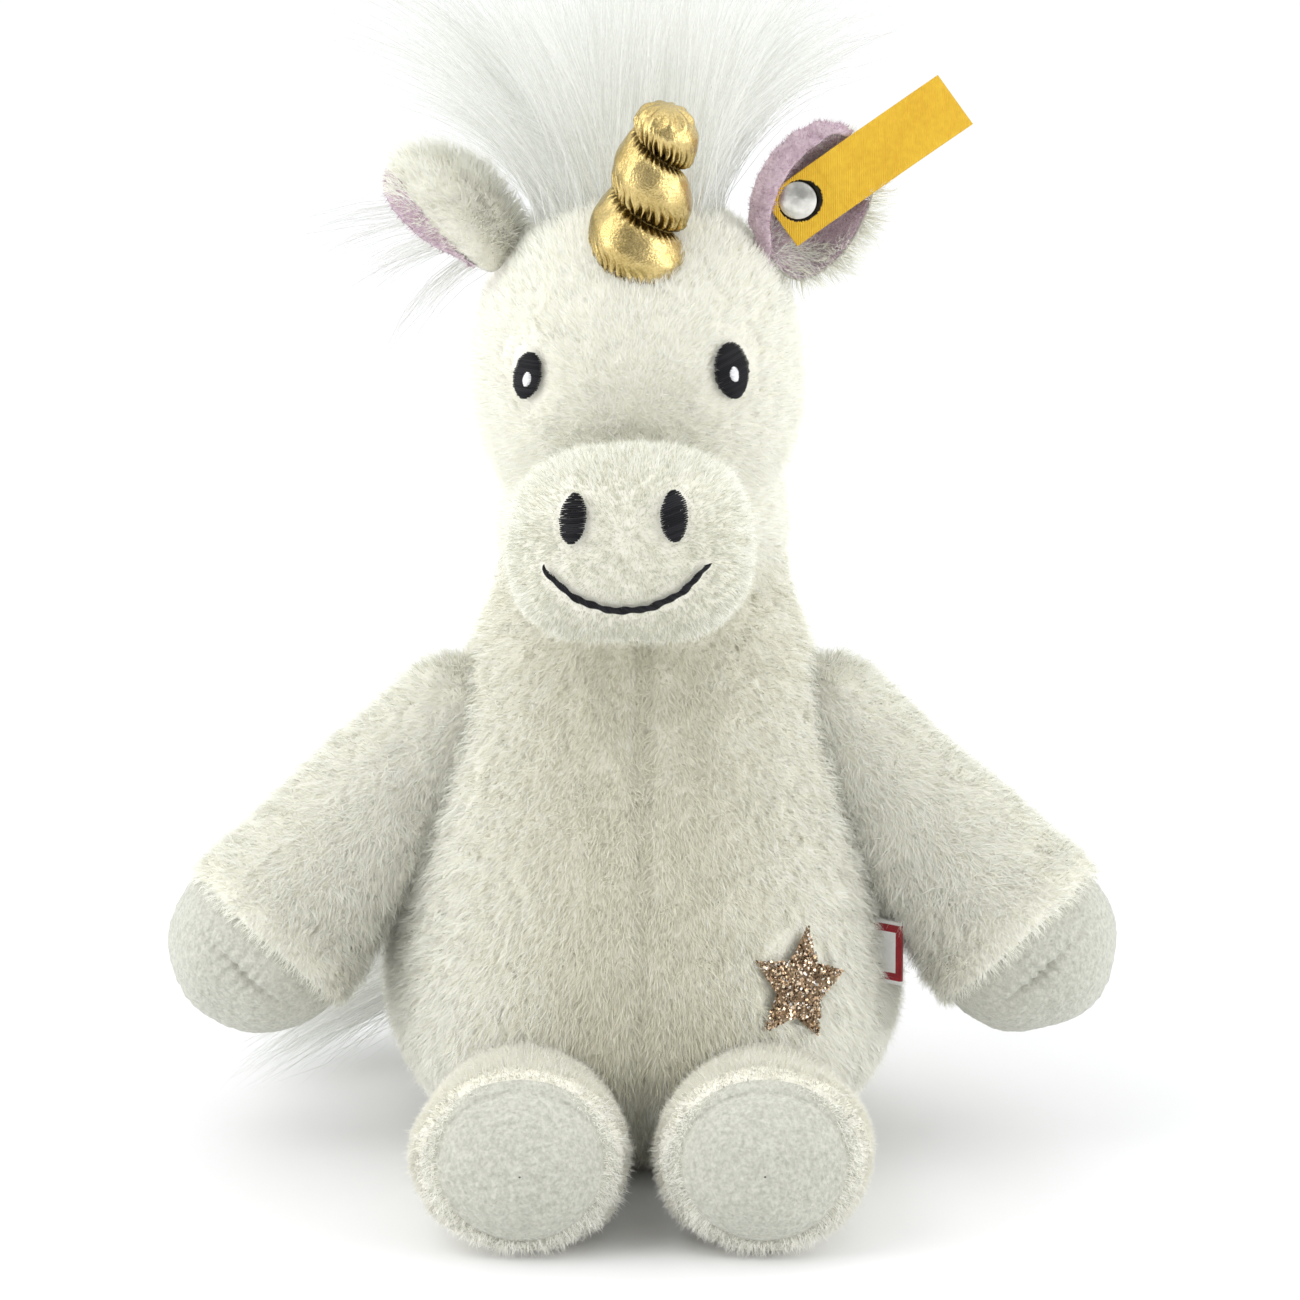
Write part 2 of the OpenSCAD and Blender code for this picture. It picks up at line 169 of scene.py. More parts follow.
def cloth_material(name, dark, light, scale, bump, roughness=0.9, sheen=0.3, weave=None, metallic=0.0,
                   mottle=40.0):
    """Cloth with a mottled colour and a fine nap or weave in its bump. Scales are in repeats per metre."""
    m = plain_material(name, light, roughness, metallic, sheen)
    tree = m.node_tree
    place = add_node(tree, "TexCoord").outputs["Object"]
    nap = add_node(tree, "TexNoise", Vector=place, Scale=scale, Detail=5).outputs["Fac"]
    patches = add_node(tree, "TexNoise", Vector=place, Scale=mottle, Detail=4).outputs["Fac"]
    mean = math_node(tree, "MULTIPLY", math_node(tree, "ADD", nap, patches), 0.5)
    ramp = add_node(tree, "ValToRGB", Fac=mean)
    for end, position, color in zip(ramp.color_ramp.elements, RAMP_ENDS, (dark, light)):
        end.position, end.color = position, (*color, 1)
    height = nap
    if weave:
        height = add_node(tree, "TexWave", Vector=place, Scale=weave, Distortion=0.4).outputs["Fac"]
    bumps = add_node(tree, "Bump", Strength=bump, Distance=0.0004, Height=height)
    shader = tree.nodes["Principled BSDF"].inputs
    fill_sockets(tree, [(shader["Base Color"], ramp.outputs["Color"]), (shader["Normal"], bumps.outputs["Normal"])])
    return m


# ---------------------------------------------------------------- meshes


def linked(name, data):
    obj = bpy.data.objects.new(name, data)
    bpy.context.scene.collection.objects.link(obj)
    return obj


def fast_mesh(name, verts, faces, materials, face_slots=None, smooth=True):
    """A mesh object from an array of points in millimetres and a list of equal-sided face arrays."""
    mesh = bpy.data.meshes.new(name)
    mesh.vertices.add(len(verts))
    mesh.vertices.foreach_set("co", (np.asarray(verts) * MM).astype(np.float32).ravel())
    corners = np.concatenate([f.ravel() for f in faces])
    sizes = np.concatenate([np.full(len(f), f.shape[1]) for f in faces])
    mesh.loops.add(len(corners))
    mesh.loops.foreach_set("vertex_index", corners.astype(np.int32))
    mesh.polygons.add(len(sizes))
    mesh.polygons.foreach_set("loop_start", np.concatenate([[0], np.cumsum(sizes)[:-1]]).astype(np.int32))
    if face_slots is not None:
        mesh.polygons.foreach_set("material_index", np.asarray(face_slots).astype(np.int32))
    mesh.polygons.foreach_set("use_smooth", np.full(len(sizes), smooth))
    for m in materials if isinstance(materials, list) else [materials]:
        mesh.materials.append(m)
    mesh.update(calc_edges=True)
    return linked(name, mesh)


def mount(obj, body, slot, *nodes, fill=None):
    """Hangs a piece on its body and hides the nodes that it stands for. slot, the name of its finish, and fill, its
    filling, are not used.
    """
    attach(obj, body)
    if nodes:
        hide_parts(*nodes)
    return obj


def thicken(obj, thickness, offset):
    solid = obj.modifiers.new("thick", "SOLIDIFY")
    solid.thickness, solid.offset = thickness * MM, offset


def grid_faces(rows, columns, closed=True):
    """Quads over a grid of points, joined round its columns if it is closed."""
    r, c = np.meshgrid(np.arange(rows - 1), np.arange(columns if closed else columns - 1), indexing="ij")
    r, c = r.ravel(), c.ravel()
    d = (c + 1) % columns
    return np.stack([r * columns + c, r * columns + d, (r + 1) * columns + d, (r + 1) * columns + c], axis=1)


def resampled(points, count):
    """The same line with evenly spaced points."""
    points = np.asarray(points, float)
    steps = np.concatenate([[0], np.cumsum(np.linalg.norm(np.diff(points, axis=0), axis=1))])
    at = np.linspace(0, steps[-1], count)
    return np.stack([np.interp(at, steps, points[:, k]) for k in range(points.shape[1])], axis=1)


def arc(r, cx, cy, a0, a1, n=24):
    a = np.radians(np.linspace(a0, a1, n))
    return np.stack([cx + r * np.cos(a), cy + r * np.sin(a)], axis=1)


def full_turn(count):
    return np.linspace(0, 2 * math.pi, count, endpoint=False)


def turned(outline, around):
    """Points of an outline (radius, height) turned about the third axis: rows up the outline, columns round it."""
    a = full_turn(around)
    r, z = outline[:, 0][:, None], outline[:, 1][:, None]
    return np.stack([r * np.cos(a), r * np.sin(a), z + 0 * a], axis=-1)


def mesh_points(obj):
    co = np.zeros(len(obj.data.vertices) * 3)
    obj.data.vertices.foreach_get("co", co)
    return co.reshape(-1, 3) / MM


def mesh_tris(obj):
    obj.data.calc_loop_triangles()
    tris = np.zeros(len(obj.data.loop_triangles) * 3, int)
    obj.data.loop_triangles.foreach_get("vertices", tris)
    return tris.reshape(-1, 3)


def surface_samples(obj, density, rng):
    """Random points of a mesh with their normals. density is how many there are on a square millimetre."""
    co, tris = mesh_points(obj), mesh_tris(obj)
    normals = np.zeros(co.size)
    obj.data.vertices.foreach_get("normal", normals)
    a, b, c = (co[tris[:, k]] for k in range(3))
    area = np.linalg.norm(np.cross(b - a, c - a), axis=1) / 2
    n = int(density * area.sum())
    pick = rng.choice(len(tris), n, p=area / area.sum())
    u, v = rng.random(n), rng.random(n)
    flip = u + v > 1
    u[flip], v[flip] = 1 - u[flip], 1 - v[flip]
    t = tris[pick]
    at, up = (sum(field[t[:, k]] * share[:, None] for k, share in enumerate((1 - u - v, u, v)))
              for field in (co, normals.reshape(-1, 3)))
    return at, unit(up)


# ---------------------------------------------------------------- fur

STRANDS_PER_PIECE = 64000
FLOOR_GAP = 0.15
# How far tufts and single strands leave the combing direction, and the share that stands up
TUFT_STRAY, STRAND_STRAY, WILD_SHARE = 0.38, 0.42, 0.05
# Depth of a root in the backing, a blade's roll in radians, and how much its shading follows the skin
ROOT_DEPTH, ROLL, SOFTNESS = 0.3, 0.25, 0.8
NAP = {"width": 0.2, "lean": (10, 50), "tuft": 3.0, "slot": "lining"}


def blades(name, spine, width, face_up, shade_up, materials, rng):
    """Flat tapered blades. spine has one row of points per blade; face_up is the way that its flat side looks."""
    count, steps = spine.shape[:2]
    across = unit(np.cross(face_up, unit(spine[:, -1] - spine[:, 0])))
    taper = np.linspace(1, 0.35, steps - 1)
    half = across[:, None, :] * (width[:, None] * taper / 2)[..., None]
    per = 2 * (steps - 1) + 1
    verts = np.empty((count, per, 3))
    verts[:, 0:-1:2], verts[:, 1:-1:2], verts[:, -1] = spine[:, :-1] - half, spine[:, :-1] + half, spine[:, -1]
    verts[..., 2] = np.maximum(verts[..., 2], FLOOR_GAP)
    base = (np.arange(count) * per)[:, None]
    quads = np.concatenate([base + np.array([[2 * k + 1, 2 * k, 2 * k + 2, 2 * k + 3]]) for k in range(steps - 2)])
    tips = base + np.array([[per - 2, per - 3, per - 1]])
    slots = rng.integers(0, len(materials), count)
    obj = fast_mesh(name, verts.reshape(-1, 3), [quads, tips], materials, np.tile(slots, steps - 1))
    if shade_up is not None:
        obj.data.normals_split_custom_set_from_vertices(np.repeat(shade_up, per, axis=0).tolist())
    return obj


def grow_fur(name, skin, body, density, length, flow, materials, seed, width=0.215, lean=(28, 64), keep=None,
             tuft=5.5, slot="plush", shadow=True):
    """Short pile on a skin. flow gives the combing direction at a point, and keep how long the pile is there, 0 to
    1. lean is how far, in degrees, a strand's lower and upper half tip over."""
    rng = np.random.default_rng(seed)
    root, up = surface_samples(skin, density * (1.0), rng)
    scale = np.ones(len(root)) if keep is None else keep(root, up)
    chosen = scale > 0.05
    root, up, scale = root[chosen], up[chosen], scale[chosen]
    count = len(root)
    stray = np.stack([lumps(root, tuft, seed + 10 * k) for k in range(3)], axis=1)
    comb = unit(flow(root, up)) + TUFT_STRAY * stray + STRAND_STRAY * rng.normal(size=(count, 3))
    comb = unit(comb - (comb * up).sum(1, keepdims=True) * up)
    size = length * scale * rng.uniform(0.72, 1.12, count) * (1 + 0.10 * lumps(root, tuft * 0.8, seed + 5))
    wild = rng.random(count) < WILD_SHARE
    low = np.radians(np.clip(rng.normal(lean[0], 9, count), 0, 80))
    high = np.radians(np.clip(rng.normal(lean[1], 12, count), 0, 88))
    high[wild] *= 0.45
    size[wild] *= 1.15
    spine = [root - ROOT_DEPTH * up]
    for a in (low, high):
        spine.append(spine[-1] + (up * np.cos(a)[:, None] + comb * np.sin(a)[:, None]) * (size * 0.5)[:, None])
    spine = np.stack(spine, axis=1)
    along = unit(spine[:, -1] - spine[:, 0])
    flat = unit(up - (up * along).sum(1, keepdims=True) * along)
    roll = rng.normal(0, ROLL, count)[:, None]
    face_up = flat * np.cos(roll) + np.cross(along, flat) * np.sin(roll)
    share = SOFTNESS * np.clip(((face_up * up).sum(1, keepdims=True) - 0.4) / 0.4, 0, 1)
    shade = unit(up * share + face_up * (1 - share) + 0.12 * rng.normal(size=(count, 3)))
    thick = width * rng.uniform(0.75, 1.2, count)
    parts = max(1, math.ceil(count / STRANDS_PER_PIECE))
    for k in range(parts):
        take = slice(k, count, parts)
        obj = blades(f"{name}_{k + 1}" if parts > 1 else name, spine[take], thick[take], face_up[take], shade[take],
                     materials, rng)
        obj.visible_shadow = shadow
        mount(obj, body, slot)


# ---------------------------------------------------------------- torso

plush = tinted("plush_pile", CREAM_TINTS, **PILE)
# The backing is darker and warmer than the pile: painted shade deep in the pile, where it shows through the strands.
shaded_backing = cloth_material("plush_backing_shaded", (0.86, 0.84, 0.72), (0.93, 0.91, 0.82), 900, 0.5)


def torso_outline(g):
    low = arc(LOW_ARC_R + g, BELLY_R - LOW_ARC_R, BELLY_Z, -58, 0)
    side = arc(SIDE_ARC_R + g, BELLY_R - SIDE_ARC_R, BELLY_Z, 0, FLANK)[1:]
    rim_r = side[-1, 0] - (TORSO_TOP - side[-1, 1]) * math.tan(math.radians(FLANK))
    neck = arc(NECK_R, 0, NECK[2], -12, 66)
    return np.concatenate([[[0.01, 0.9], [low[0, 0] - 4, 0.7]], low, side, [[rim_r + 0.6, TORSO_TOP - 3]], neck,
                           [[0.01, neck[-1, 1] + 1]]])


def seam_dip(distance, depth, half_width):
    return -depth * np.exp(-((distance / half_width) ** 2))


def make_torso():
    points = turned(resampled(torso_outline(-0.5), 150), 220)
    p = points.reshape(-1, 3)
    out = unit(p * LEVEL)
    amount = 0.7 * lumps(p, 38, 3) + 0.25 * lumps(p, 14, 4)
    amount += np.where(p[:, 1] < 0, seam_dip(p[:, 0], 1.3, 1.6), seam_dip(p[:, 0], 0.9, 1.5))
    amount += seam_dip(p[:, 1], 0.7, 1.6)
    amount = np.clip(amount, -1.2, None) * np.clip((p[:, 2] - 2) / 10, 0, 1) * np.clip((118 - p[:, 2]) / 10, 0, 1)
    p = p + out * amount[:, None]
    p[:, 2] = np.maximum(p[:, 2], 0.25)
    return fast_mesh("torso_skin", p, [grid_faces(*points.shape[:2])], shaded_backing)


def torso_flow(p, up):
    return np.array([0, 0, -1.0]) + 0.15 * unit(p * LEVEL)


def torso_keep(p, up):
    """Full pile on the body, short under the star, and none under the seat or inside the neck."""
    a = math.radians(STAR_AZIMUTH)
    from_star = np.hypot(p @ np.array([math.cos(a), math.sin(a), 0]), p[:, 2] - STAR_Z + 1.5)
    keep = np.where((from_star < 9) & (p[:, 1] < 0) & (p[:, 0] > 0), 0.35, 1.0)
    return np.where((p[:, 2] < 3) | (p[:, 2] > 122), 0.0, keep)


torso_skin = mount(make_torso(), "torso", "plush", "body_front_left", "body_front_right", "body_back_left",
                   "body_back_right", "seat_panel", "neck_stuffing", "body_stuffing", fill=0.8)
# The belly pile is painted shade: darker, warmer strands on the middle of the front, where less light falls.
belly_shade_pile = tinted("belly_shade_pile", BELLY_SHADE_TINTS, **PILE)


def in_belly_shade(p, seed):
    """Picks strands for painted shade on the middle of the front: darker, warmer pile that thins out towards the
    flanks.
    """
    share = (36 - np.abs(p[:, 0])) / 26 * np.clip((p[:, 2] - 8) / 20, 0.5, 1)
    return (np.random.default_rng(seed).random(len(p)) < share) & (p[:, 1] < 0)


grow_fur("torso_fur", torso_skin, "torso", 7.0, 4.2, torso_flow, plush, 11,
         keep=lambda p, up: torso_keep(p, up) * ~in_belly_shade(p, 13))
grow_fur("belly_fur", torso_skin, "torso", 7.0, 4.2, torso_flow, belly_shade_pile, 15,
         keep=lambda p, up: torso_keep(p, up) * in_belly_shade(p, 14))

# ---------------------------------------------------------------- head


def egg(center, half, power=2.0, around=96, rows=64):
    """A closed rounded solid: an ellipsoid at power 2, boxier above it."""
    a = full_turn(around)
    b = np.linspace(-math.pi / 2, math.pi / 2, rows)

    def soft(x):
        return np.sign(x) * np.abs(x) ** (2 / power)

    x = soft(np.cos(b))[:, None] * soft(np.cos(a))[None]
    y = soft(np.cos(b))[:, None] * soft(np.sin(a))[None]
    z = soft(np.sin(b))[:, None] + 0 * a
    return np.asarray(center) + np.stack([x, y, z], axis=-1) * np.asarray(half)


def merged(name, grids, material, voxel=1.3, smoothing=10):
    """One skin round several closed shapes, with its creases softened."""
    verts, faces, start = [], [], 0
    for g in grids:
        verts.append(g.reshape(-1, 3))
        faces.append(grid_faces(*g.shape[:2]) + start)
        start += g.shape[0] * g.shape[1]
    rough = fast_mesh(name + "_rough", np.concatenate(verts), faces, material)
    remesh = rough.modifiers.new("remesh", "REMESH")
    remesh.mode = "VOXEL"
    remesh.voxel_size = voxel * MM
    soften = rough.modifiers.new("soften", "SMOOTH")
    soften.factor = 0.5
    soften.iterations = smoothing
    bpy.context.view_layer.update()
    evaluated = rough.evaluated_get(bpy.context.evaluated_depsgraph_get())
    mesh = bpy.data.meshes.new_from_object(evaluated)
    mesh.name = name
    mesh.polygons.foreach_set("use_smooth", np.full(len(mesh.polygons), True))
    bpy.data.objects.remove(rough)
    return linked(name, mesh)


def make_head():
    skull = egg((0, 0, HEAD_Z), (HEAD_R, HEAD_R - 0.5, HEAD_H - SKIN_INSET), 2.1)
    muzzle = egg(MUZZLE, MUZZLE_HALF - SKIN_INSET, 2.5)
    bridge = egg((0, -22, 129), (18.5, 22, 13.5), 2.4)
    throat = egg(NECK, (NECK_R + 0.8, NECK_R + 0.8, NECK_R + 0.8))
    throat[..., 2] = np.maximum(throat[..., 2], TORSO_TOP - 0.5)
    head = merged("head_skin", [skull, muzzle, bridge, throat], shaded_backing)
    p = mesh_points(head)
    p += unit(p - np.array([0, -8, HEAD_Z])) * (0.45 * lumps(p, 26, 21))[:, None]
    head.data.vertices.foreach_set("co", (head_point(p) * MM).astype(np.float32).ravel())
    head.data.update()
    return head


def head_flow(p, up):
    q = to_head(p)
    away = q - (MUZZLE + np.array([0, -8, 2]))
    return (away * np.array([1, 1, 1.15])) @ HEAD_AXES.T + np.array([0, 6, -4.0])


def oval_field(q, x, z, w, h, tilt):
    """Below 1 inside an oval seen from the front."""
    a = math.radians(tilt)
    dx, dz = q[:, 0] - x, q[:, 2] - z
    u, v = dx * math.cos(a) + dz * math.sin(a), -dx * math.sin(a) + dz * math.cos(a)
    return np.sqrt((u / (w / 2)) ** 2 + (v / (h / 2)) ** 2)


def off_muzzle(q):
    """How far a point is from the muzzle's middle, seen from the front: 1 at its rim."""
    return np.linalg.norm(((q - MUZZLE) / (MUZZLE_HALF + 2))[:, [0, 2]], axis=1)


def head_keep(p, up):
    """Shorter pile on the muzzle and round the embroidery, and none under it, under the horn or in the neck."""
    q = to_head(p)
    near = np.linalg.norm((q - MUZZLE) / (MUZZLE_HALF + 3), axis=1)
    off_middle = off_muzzle(q)
    keep = np.where(near < 1.05, 0.55 + 0.35 * np.clip((off_middle - 0.55) / 0.4, 0, 1), 0.9)
    front = q[:, 1] < 0
    for side in (-1, 1):
        eye = oval_field(q, side * EYE_X, EYE_Z, EYE_W + 0.8, EYE_H + 0.8, -side * EYE_TILT)
        hole = oval_field(q, side * NOSTRIL_X, NOSTRIL_Z, NOSTRIL_W + 0.6, NOSTRIL_H + 0.6, -side * 6)
        for field in (eye, hole):
            keep = np.where(front & (field < 1), 0, np.where(front & (field < 1.5), keep * 0.6, keep))
    from_arc = np.abs(np.hypot(q[:, 0], q[:, 2] - (SMILE_Z + SMILE_R - SMILE_DROP)) - SMILE_R)
    on_smile = (q[:, 1] < MUZZLE[1]) & (q[:, 2] < SMILE_Z + 1) & (np.abs(q[:, 0]) < SMILE_HALF + 1)
    keep = np.where(on_smile & (from_arc < 0.9), 0, keep)
    keep = np.where(on_smile & (from_arc >= 0.9) & (from_arc < 2), keep * 0.6, keep)
    horn_foot = np.linalg.norm((q - np.array([0, -15, 174])) * np.array([1, 1, 0.6]), axis=1)
    return np.where((horn_foot < 8) | (p[:, 2] < TORSO_TOP - 3), 0, keep)


head_skin = mount(make_head(), "head", "plush", "head_side_left", "head_side_right", "forehead_gusset",
                  "chin_panel", "muzzle_cover", "head_stuffing", "muzzle_stuffing", fill=0.85)
# The muzzle pile is painted shade: darker strands in the middle of the muzzle's front.
muzzle_shade_pile = tinted("muzzle_shade_pile", MUZZLE_SHADE_TINTS, **PILE)


def in_muzzle_shade(p, seed):
    """Picks strands for painted shade on the front of the muzzle: darker pile in its middle, which thins out towards
    its rim.
    """
    q = to_head(p)
    share = (1.02 - off_muzzle(q)) / 0.4
    return (np.random.default_rng(seed).random(len(p)) < share) & (q[:, 1] < -27)


grow_fur("head_fur", head_skin, "head", 7.0, 3.9, head_flow, plush, 31, tuft=5, width=0.2,
         keep=lambda p, up: head_keep(p, up) * ~in_muzzle_shade(p, 33))
grow_fur("muzzle_fur", head_skin, "head", 7.0, 3.9, head_flow, muzzle_shade_pile, 35, tuft=4, width=0.19,
         keep=lambda p, up: head_keep(p, up) * in_muzzle_shade(p, 34))

# ---------------------------------------------------------------- limbs

velour_cloth = cloth_material("velour", (0.45, 0.45, 0.385), (0.64, 0.64, 0.56), 1700, 1.0, sheen=0.4, mottle=900)


def frame_along(direction):
    """Axes whose third is the direction and whose second leans towards +Y."""
    third = unit(direction)
    first = unit(np.cross(np.array([0, 1.0, 0]), third))
    return np.stack([first, np.cross(third, first), third], axis=1)


def limb_outline(r0, r1, length, g):
    lean = math.degrees(math.asin((r1 - r0) / length))
    return np.concatenate([arc(r0 + g, 0, 0, -89.9, -lean), arc(r1 + g, 0, length, -lean, 89.9)])


ARM_LEN = float(np.linalg.norm(HOOF_POS - ARM_ROOT))
CUFF = ARM_LEN + ARM_R1 - HOOF_LEN
CUFF_FLARE = 1.3
# Angle between the arm's axis and the seam that crosses the front of the hoof
HOOF_SEAM = 67


def limb_pieces(name, body, fill, skin, skin_nodes, velour, velour_nodes):
    for obj, slot, nodes in ((skin, "plush", skin_nodes), (velour, "velour", velour_nodes)):
        mount(obj, body, slot, *[f"{n}_{name}" for n in nodes], fill=fill)


def make_arm(name, side):
    axes = frame_along(HOOF_POS - ARM_ROOT)
    outline = resampled(limb_outline(ARM_R0, ARM_R1, ARM_LEN, -SKIN_INSET), 120)

    sleeve_line = outline[outline[:, 1] < CUFF + 1.5]
    sleeve_line[:, 0] += CUFF_FLARE * np.clip((sleeve_line[:, 1] - CUFF + 9) / 8, 0, 1) ** 2
    edge = sleeve_line[-1, 0]
    tuck = np.array([edge, CUFF]) + np.array([[0.1, 2.4], [-0.8, 3.2], [-2.0, 2.6], [-5, 1.0]])
    sleeve = turned(np.concatenate([sleeve_line, tuck]), 120)
    s = sleeve.reshape(-1, 3)
    s += unit(s * LEVEL) * (0.6 * lumps(s, 24, 40 + side) + 0.2 * lumps(s, 9, 44))[:, None]
    sleeve_skin = fast_mesh(f"sleeve_skin_{name}", mirrored(ARM_ROOT + s @ axes.T, side),
                            [grid_faces(*sleeve.shape[:2])[:, ::side]], shaded_backing)

    hoof_line = resampled(limb_outline(ARM_R0, ARM_R1, ARM_LEN, -1.0), 260)
    hoof_line = hoof_line[hoof_line[:, 1] > CUFF - 4]
    hoof_line[:, 0] -= 2.5 * np.clip((CUFF + 0.5 - hoof_line[:, 1]) / 2, 0, 1)
    hoof = turned(hoof_line, 260)
    h = hoof.reshape(-1, 3)
    out = unit(h - np.array([0, 0, ARM_LEN - 4]))
    tilt = math.radians(HOOF_SEAM)
    from_seam = (h[:, 1] * math.cos(tilt) + (h[:, 2] - ARM_LEN) * math.sin(tilt))
    across = np.clip(1.25 - np.abs(h[:, 0]) / 11, 0, 1) * (h[:, 1] < 2)
    amount = 0.5 * lumps(h, 16, 50 + side) + 0.13 * lumps(h, 2.6, 52) + 0.12 * lumps(h, 1.2, 53, 16)
    puckers = np.sin(h[:, 0] * 2.6 + lumps(h, 3, 54)) * np.exp(-((from_seam / 3.5) ** 2)) * 0.34
    amount += (seam_dip(from_seam, 1.3, 0.8) + puckers) * across
    h = h + out * amount[:, None]
    hoof_skin = fast_mesh(f"hoof_{name}", mirrored(ARM_ROOT + h @ axes.T, side),
                          [grid_faces(*hoof.shape[:2])[:, ::side]], velour_cloth)

    body = f"arm_{name}"
    limb_pieces(name, body, 0.75, sleeve_skin, ("arm_cover", "arm_stuffing"), hoof_skin, ("hoof_front", "hoof_back"))
    root = mirrored(ARM_ROOT, side)
    direction = unit(mirrored(HOOF_POS, side) - root)

    def keep(p, up):
        along = (p - root) @ direction
        return np.where(along > CUFF + 3.0, 0, np.where(along > CUFF - 3, 0.72, 1.0))

    grow_fur(f"sleeve_fur_{name}", sleeve_skin, body, 7.2, 4.9, lambda p, up: direction + 0 * p, plush,
             60 + side, keep=keep)


for arm, arm_side in SIDES.items():
    make_arm(arm, arm_side)

# The leg pile is painted light: whiter strands on the legs and round the soles.
leg_lit_pile = tinted("leg_lit_pile", LEG_LIT_TINTS, **PILE)
LEG_RISE = math.degrees(math.asin((LEG_R1 - LEG_R0) / LEG_LEN))
# Angle over which the foot's edge turns towards the sole
TOE_TURN = 55
SOLE_R = LEG_R1 - TOE_R + TOE_R * math.cos(math.radians(TOE_TURN))
SOLE_Z = LEG_LEN - 7


def leg_outline(g):
    edge_z = SOLE_Z - TOE_R * math.sin(math.radians(TOE_TURN))
    rise = LEG_LEN - SOLE_Z
    dome = (SOLE_R ** 2 + rise ** 2) / (2 * rise)
    start = math.degrees(math.acos(SOLE_R / dome))
    return np.concatenate([
        arc(LEG_R0 + g, 0, 0, -89.9, -LEG_RISE),
        arc(TOE_R + g, LEG_R1 - TOE_R, edge_z, 0, TOE_TURN),
        arc(dome + g, 0, LEG_LEN - dome, start, 89.9),
    ])


def settled(p, hip):
    """A foot that its own weight makes a little wider and lower."""
    p = hip + (p - hip) * np.array([1.04, 1, 1])
    p[:, 2] = np.maximum(p[:, 2] * 0.925, 0.4)
    return p


def make_leg(name, side):
    hip = joint_place(f"{name}_leg_lift")
    rise = math.radians(LEG_RISE)
    axes = frame_along((0, -math.cos(rise), math.sin(rise)))
    line = resampled(leg_outline(-0.7), 120)
    cut = np.argmax((line[:, 1] > SOLE_Z - 3) & (line[:, 0] < SOLE_R))
    tuck = [[SOLE_R - 3, line[cut, 1] - 0.3], [SOLE_R - 6, line[cut, 1] - 1]]
    cover = turned(np.concatenate([line[:cut], tuck]), 120)
    c = cover.reshape(-1, 3)
    c += unit(c * LEVEL) * (0.5 * lumps(c, 22, 70 + side))[:, None]
    c = settled(hip + c @ axes.T, hip)
    cover_skin = fast_mesh(f"leg_skin_{name}", c, [grid_faces(*cover.shape[:2])], shaded_backing)

    sole_line = resampled(leg_outline(-0.2), 600)
    sole_line = sole_line[(sole_line[:, 1] > SOLE_Z - 5.0) & (sole_line[:, 0] < SOLE_R + 1.8)]
    sole = turned(sole_line[::2], 240)
    s = sole.reshape(-1, 3)
    edge = np.linalg.norm(s[:, :2], axis=1)
    amount = 0.35 * lumps(s, 12, 80 + side) + 0.13 * lumps(s, 2.6, 82) + 0.15 * lumps(s, 1.15, 83, 16)
    amount -= 0.6 * np.exp(-(((edge - SOLE_R + 0.6) / 0.5) ** 2))
    amount += 0.5 * np.clip(1 - edge / SOLE_R, 0, 1)
    s = s + np.array([0, 0, 1.0]) * amount[:, None]
    sole_skin = fast_mesh(f"sole_pad_{name}", settled(hip + s @ axes.T, hip), [grid_faces(*sole.shape[:2])],
                          velour_cloth)
    body = f"leg_{name}"
    limb_pieces(name, body, 0.8, cover_skin, ("leg_cover", "leg_stuffing"), sole_skin, ("sole",))

    def flow(p, up):
        local = (p - hip) @ axes
        outward = (unit(local * LEVEL) * np.clip((local[:, 2:] - SOLE_Z + 9) / 6, 0, 1)) @ axes.T
        return np.array([0, -1.0, -0.25]) + 0.5 * outward

    def keep(p, up):
        local = (p - hip) @ axes
        reach = np.linalg.norm(local[:, :2], axis=1)
        keep = np.where((local[:, 2] > SOLE_Z - 6) & (reach < SOLE_R + 1), 0.7, 0.95)
        keep = np.where((local[:, 2] > SOLE_Z - 3) & (reach < SOLE_R - 1.2), 0, keep)
        return keep * np.where(up[:, 2] < -0.75, 0.25, 1.0)

    def rim_keep(p, up):
        return np.where(np.linalg.norm(((p - hip) @ axes)[:, :2], axis=1) > SOLE_R - 0.4, 1.0, 0)

    grow_fur(f"leg_fur_{name}", cover_skin, body, 7.6, 3.0, flow, leg_lit_pile, 90 + side, keep=keep)
    grow_fur(f"sole_rim_fur_{name}", sole_skin, body, 9.0, 2.6, lambda p, up: unit(p - hip) * 0.3 + flow(p, up),
             leg_lit_pile, 94 + side, keep=rim_keep, lean=(10, 40), width=0.2, shadow=False)


for leg, leg_side in SIDES.items():
    make_leg(leg, leg_side)

# ---------------------------------------------------------------- embroidery


def turn(axis, degrees):
    """A rotation matrix about X, Y or Z."""
    return np.array(Matrix.Rotation(math.radians(degrees), 3, axis))


def tubes(name, lines, radius, materials, slots, sides=5):
    """Threads of the same number of points each, with rounded ends. lines is (thread, point, xyz)."""
    count, steps = lines.shape[:2]
    along = unit(np.gradient(lines, axis=1))
    side = unit(np.cross(along, np.array([0.12, 0.31, 0.94])))
    top = np.cross(side, along)
    a = full_turn(sides)
    thin = np.sin(np.linspace(0.25, math.pi - 0.25, steps)) ** 0.4
    ring = (side[:, :, None] * np.cos(a)[:, None] + top[:, :, None] * np.sin(a)[:, None]) * radius
    points = lines[:, :, None] + ring * thin[None, :, None, None]
    quads = grid_faces(steps, sides)
    faces = (np.arange(count) * steps * sides)[:, None, None] + quads[None]
    return fast_mesh(name, points.reshape(-1, 3), [faces.reshape(-1, 4)], materials, np.repeat(slots, len(quads)))


def skin_tree(skin, moved=np.asarray):
    """The triangles of a skin, with its points moved, for dropping points onto it."""
    return BVHTree.FromPolygons(moved(mesh_points(skin)).tolist(), mesh_tris(skin).tolist())


face_tree = skin_tree(head_skin, to_head)


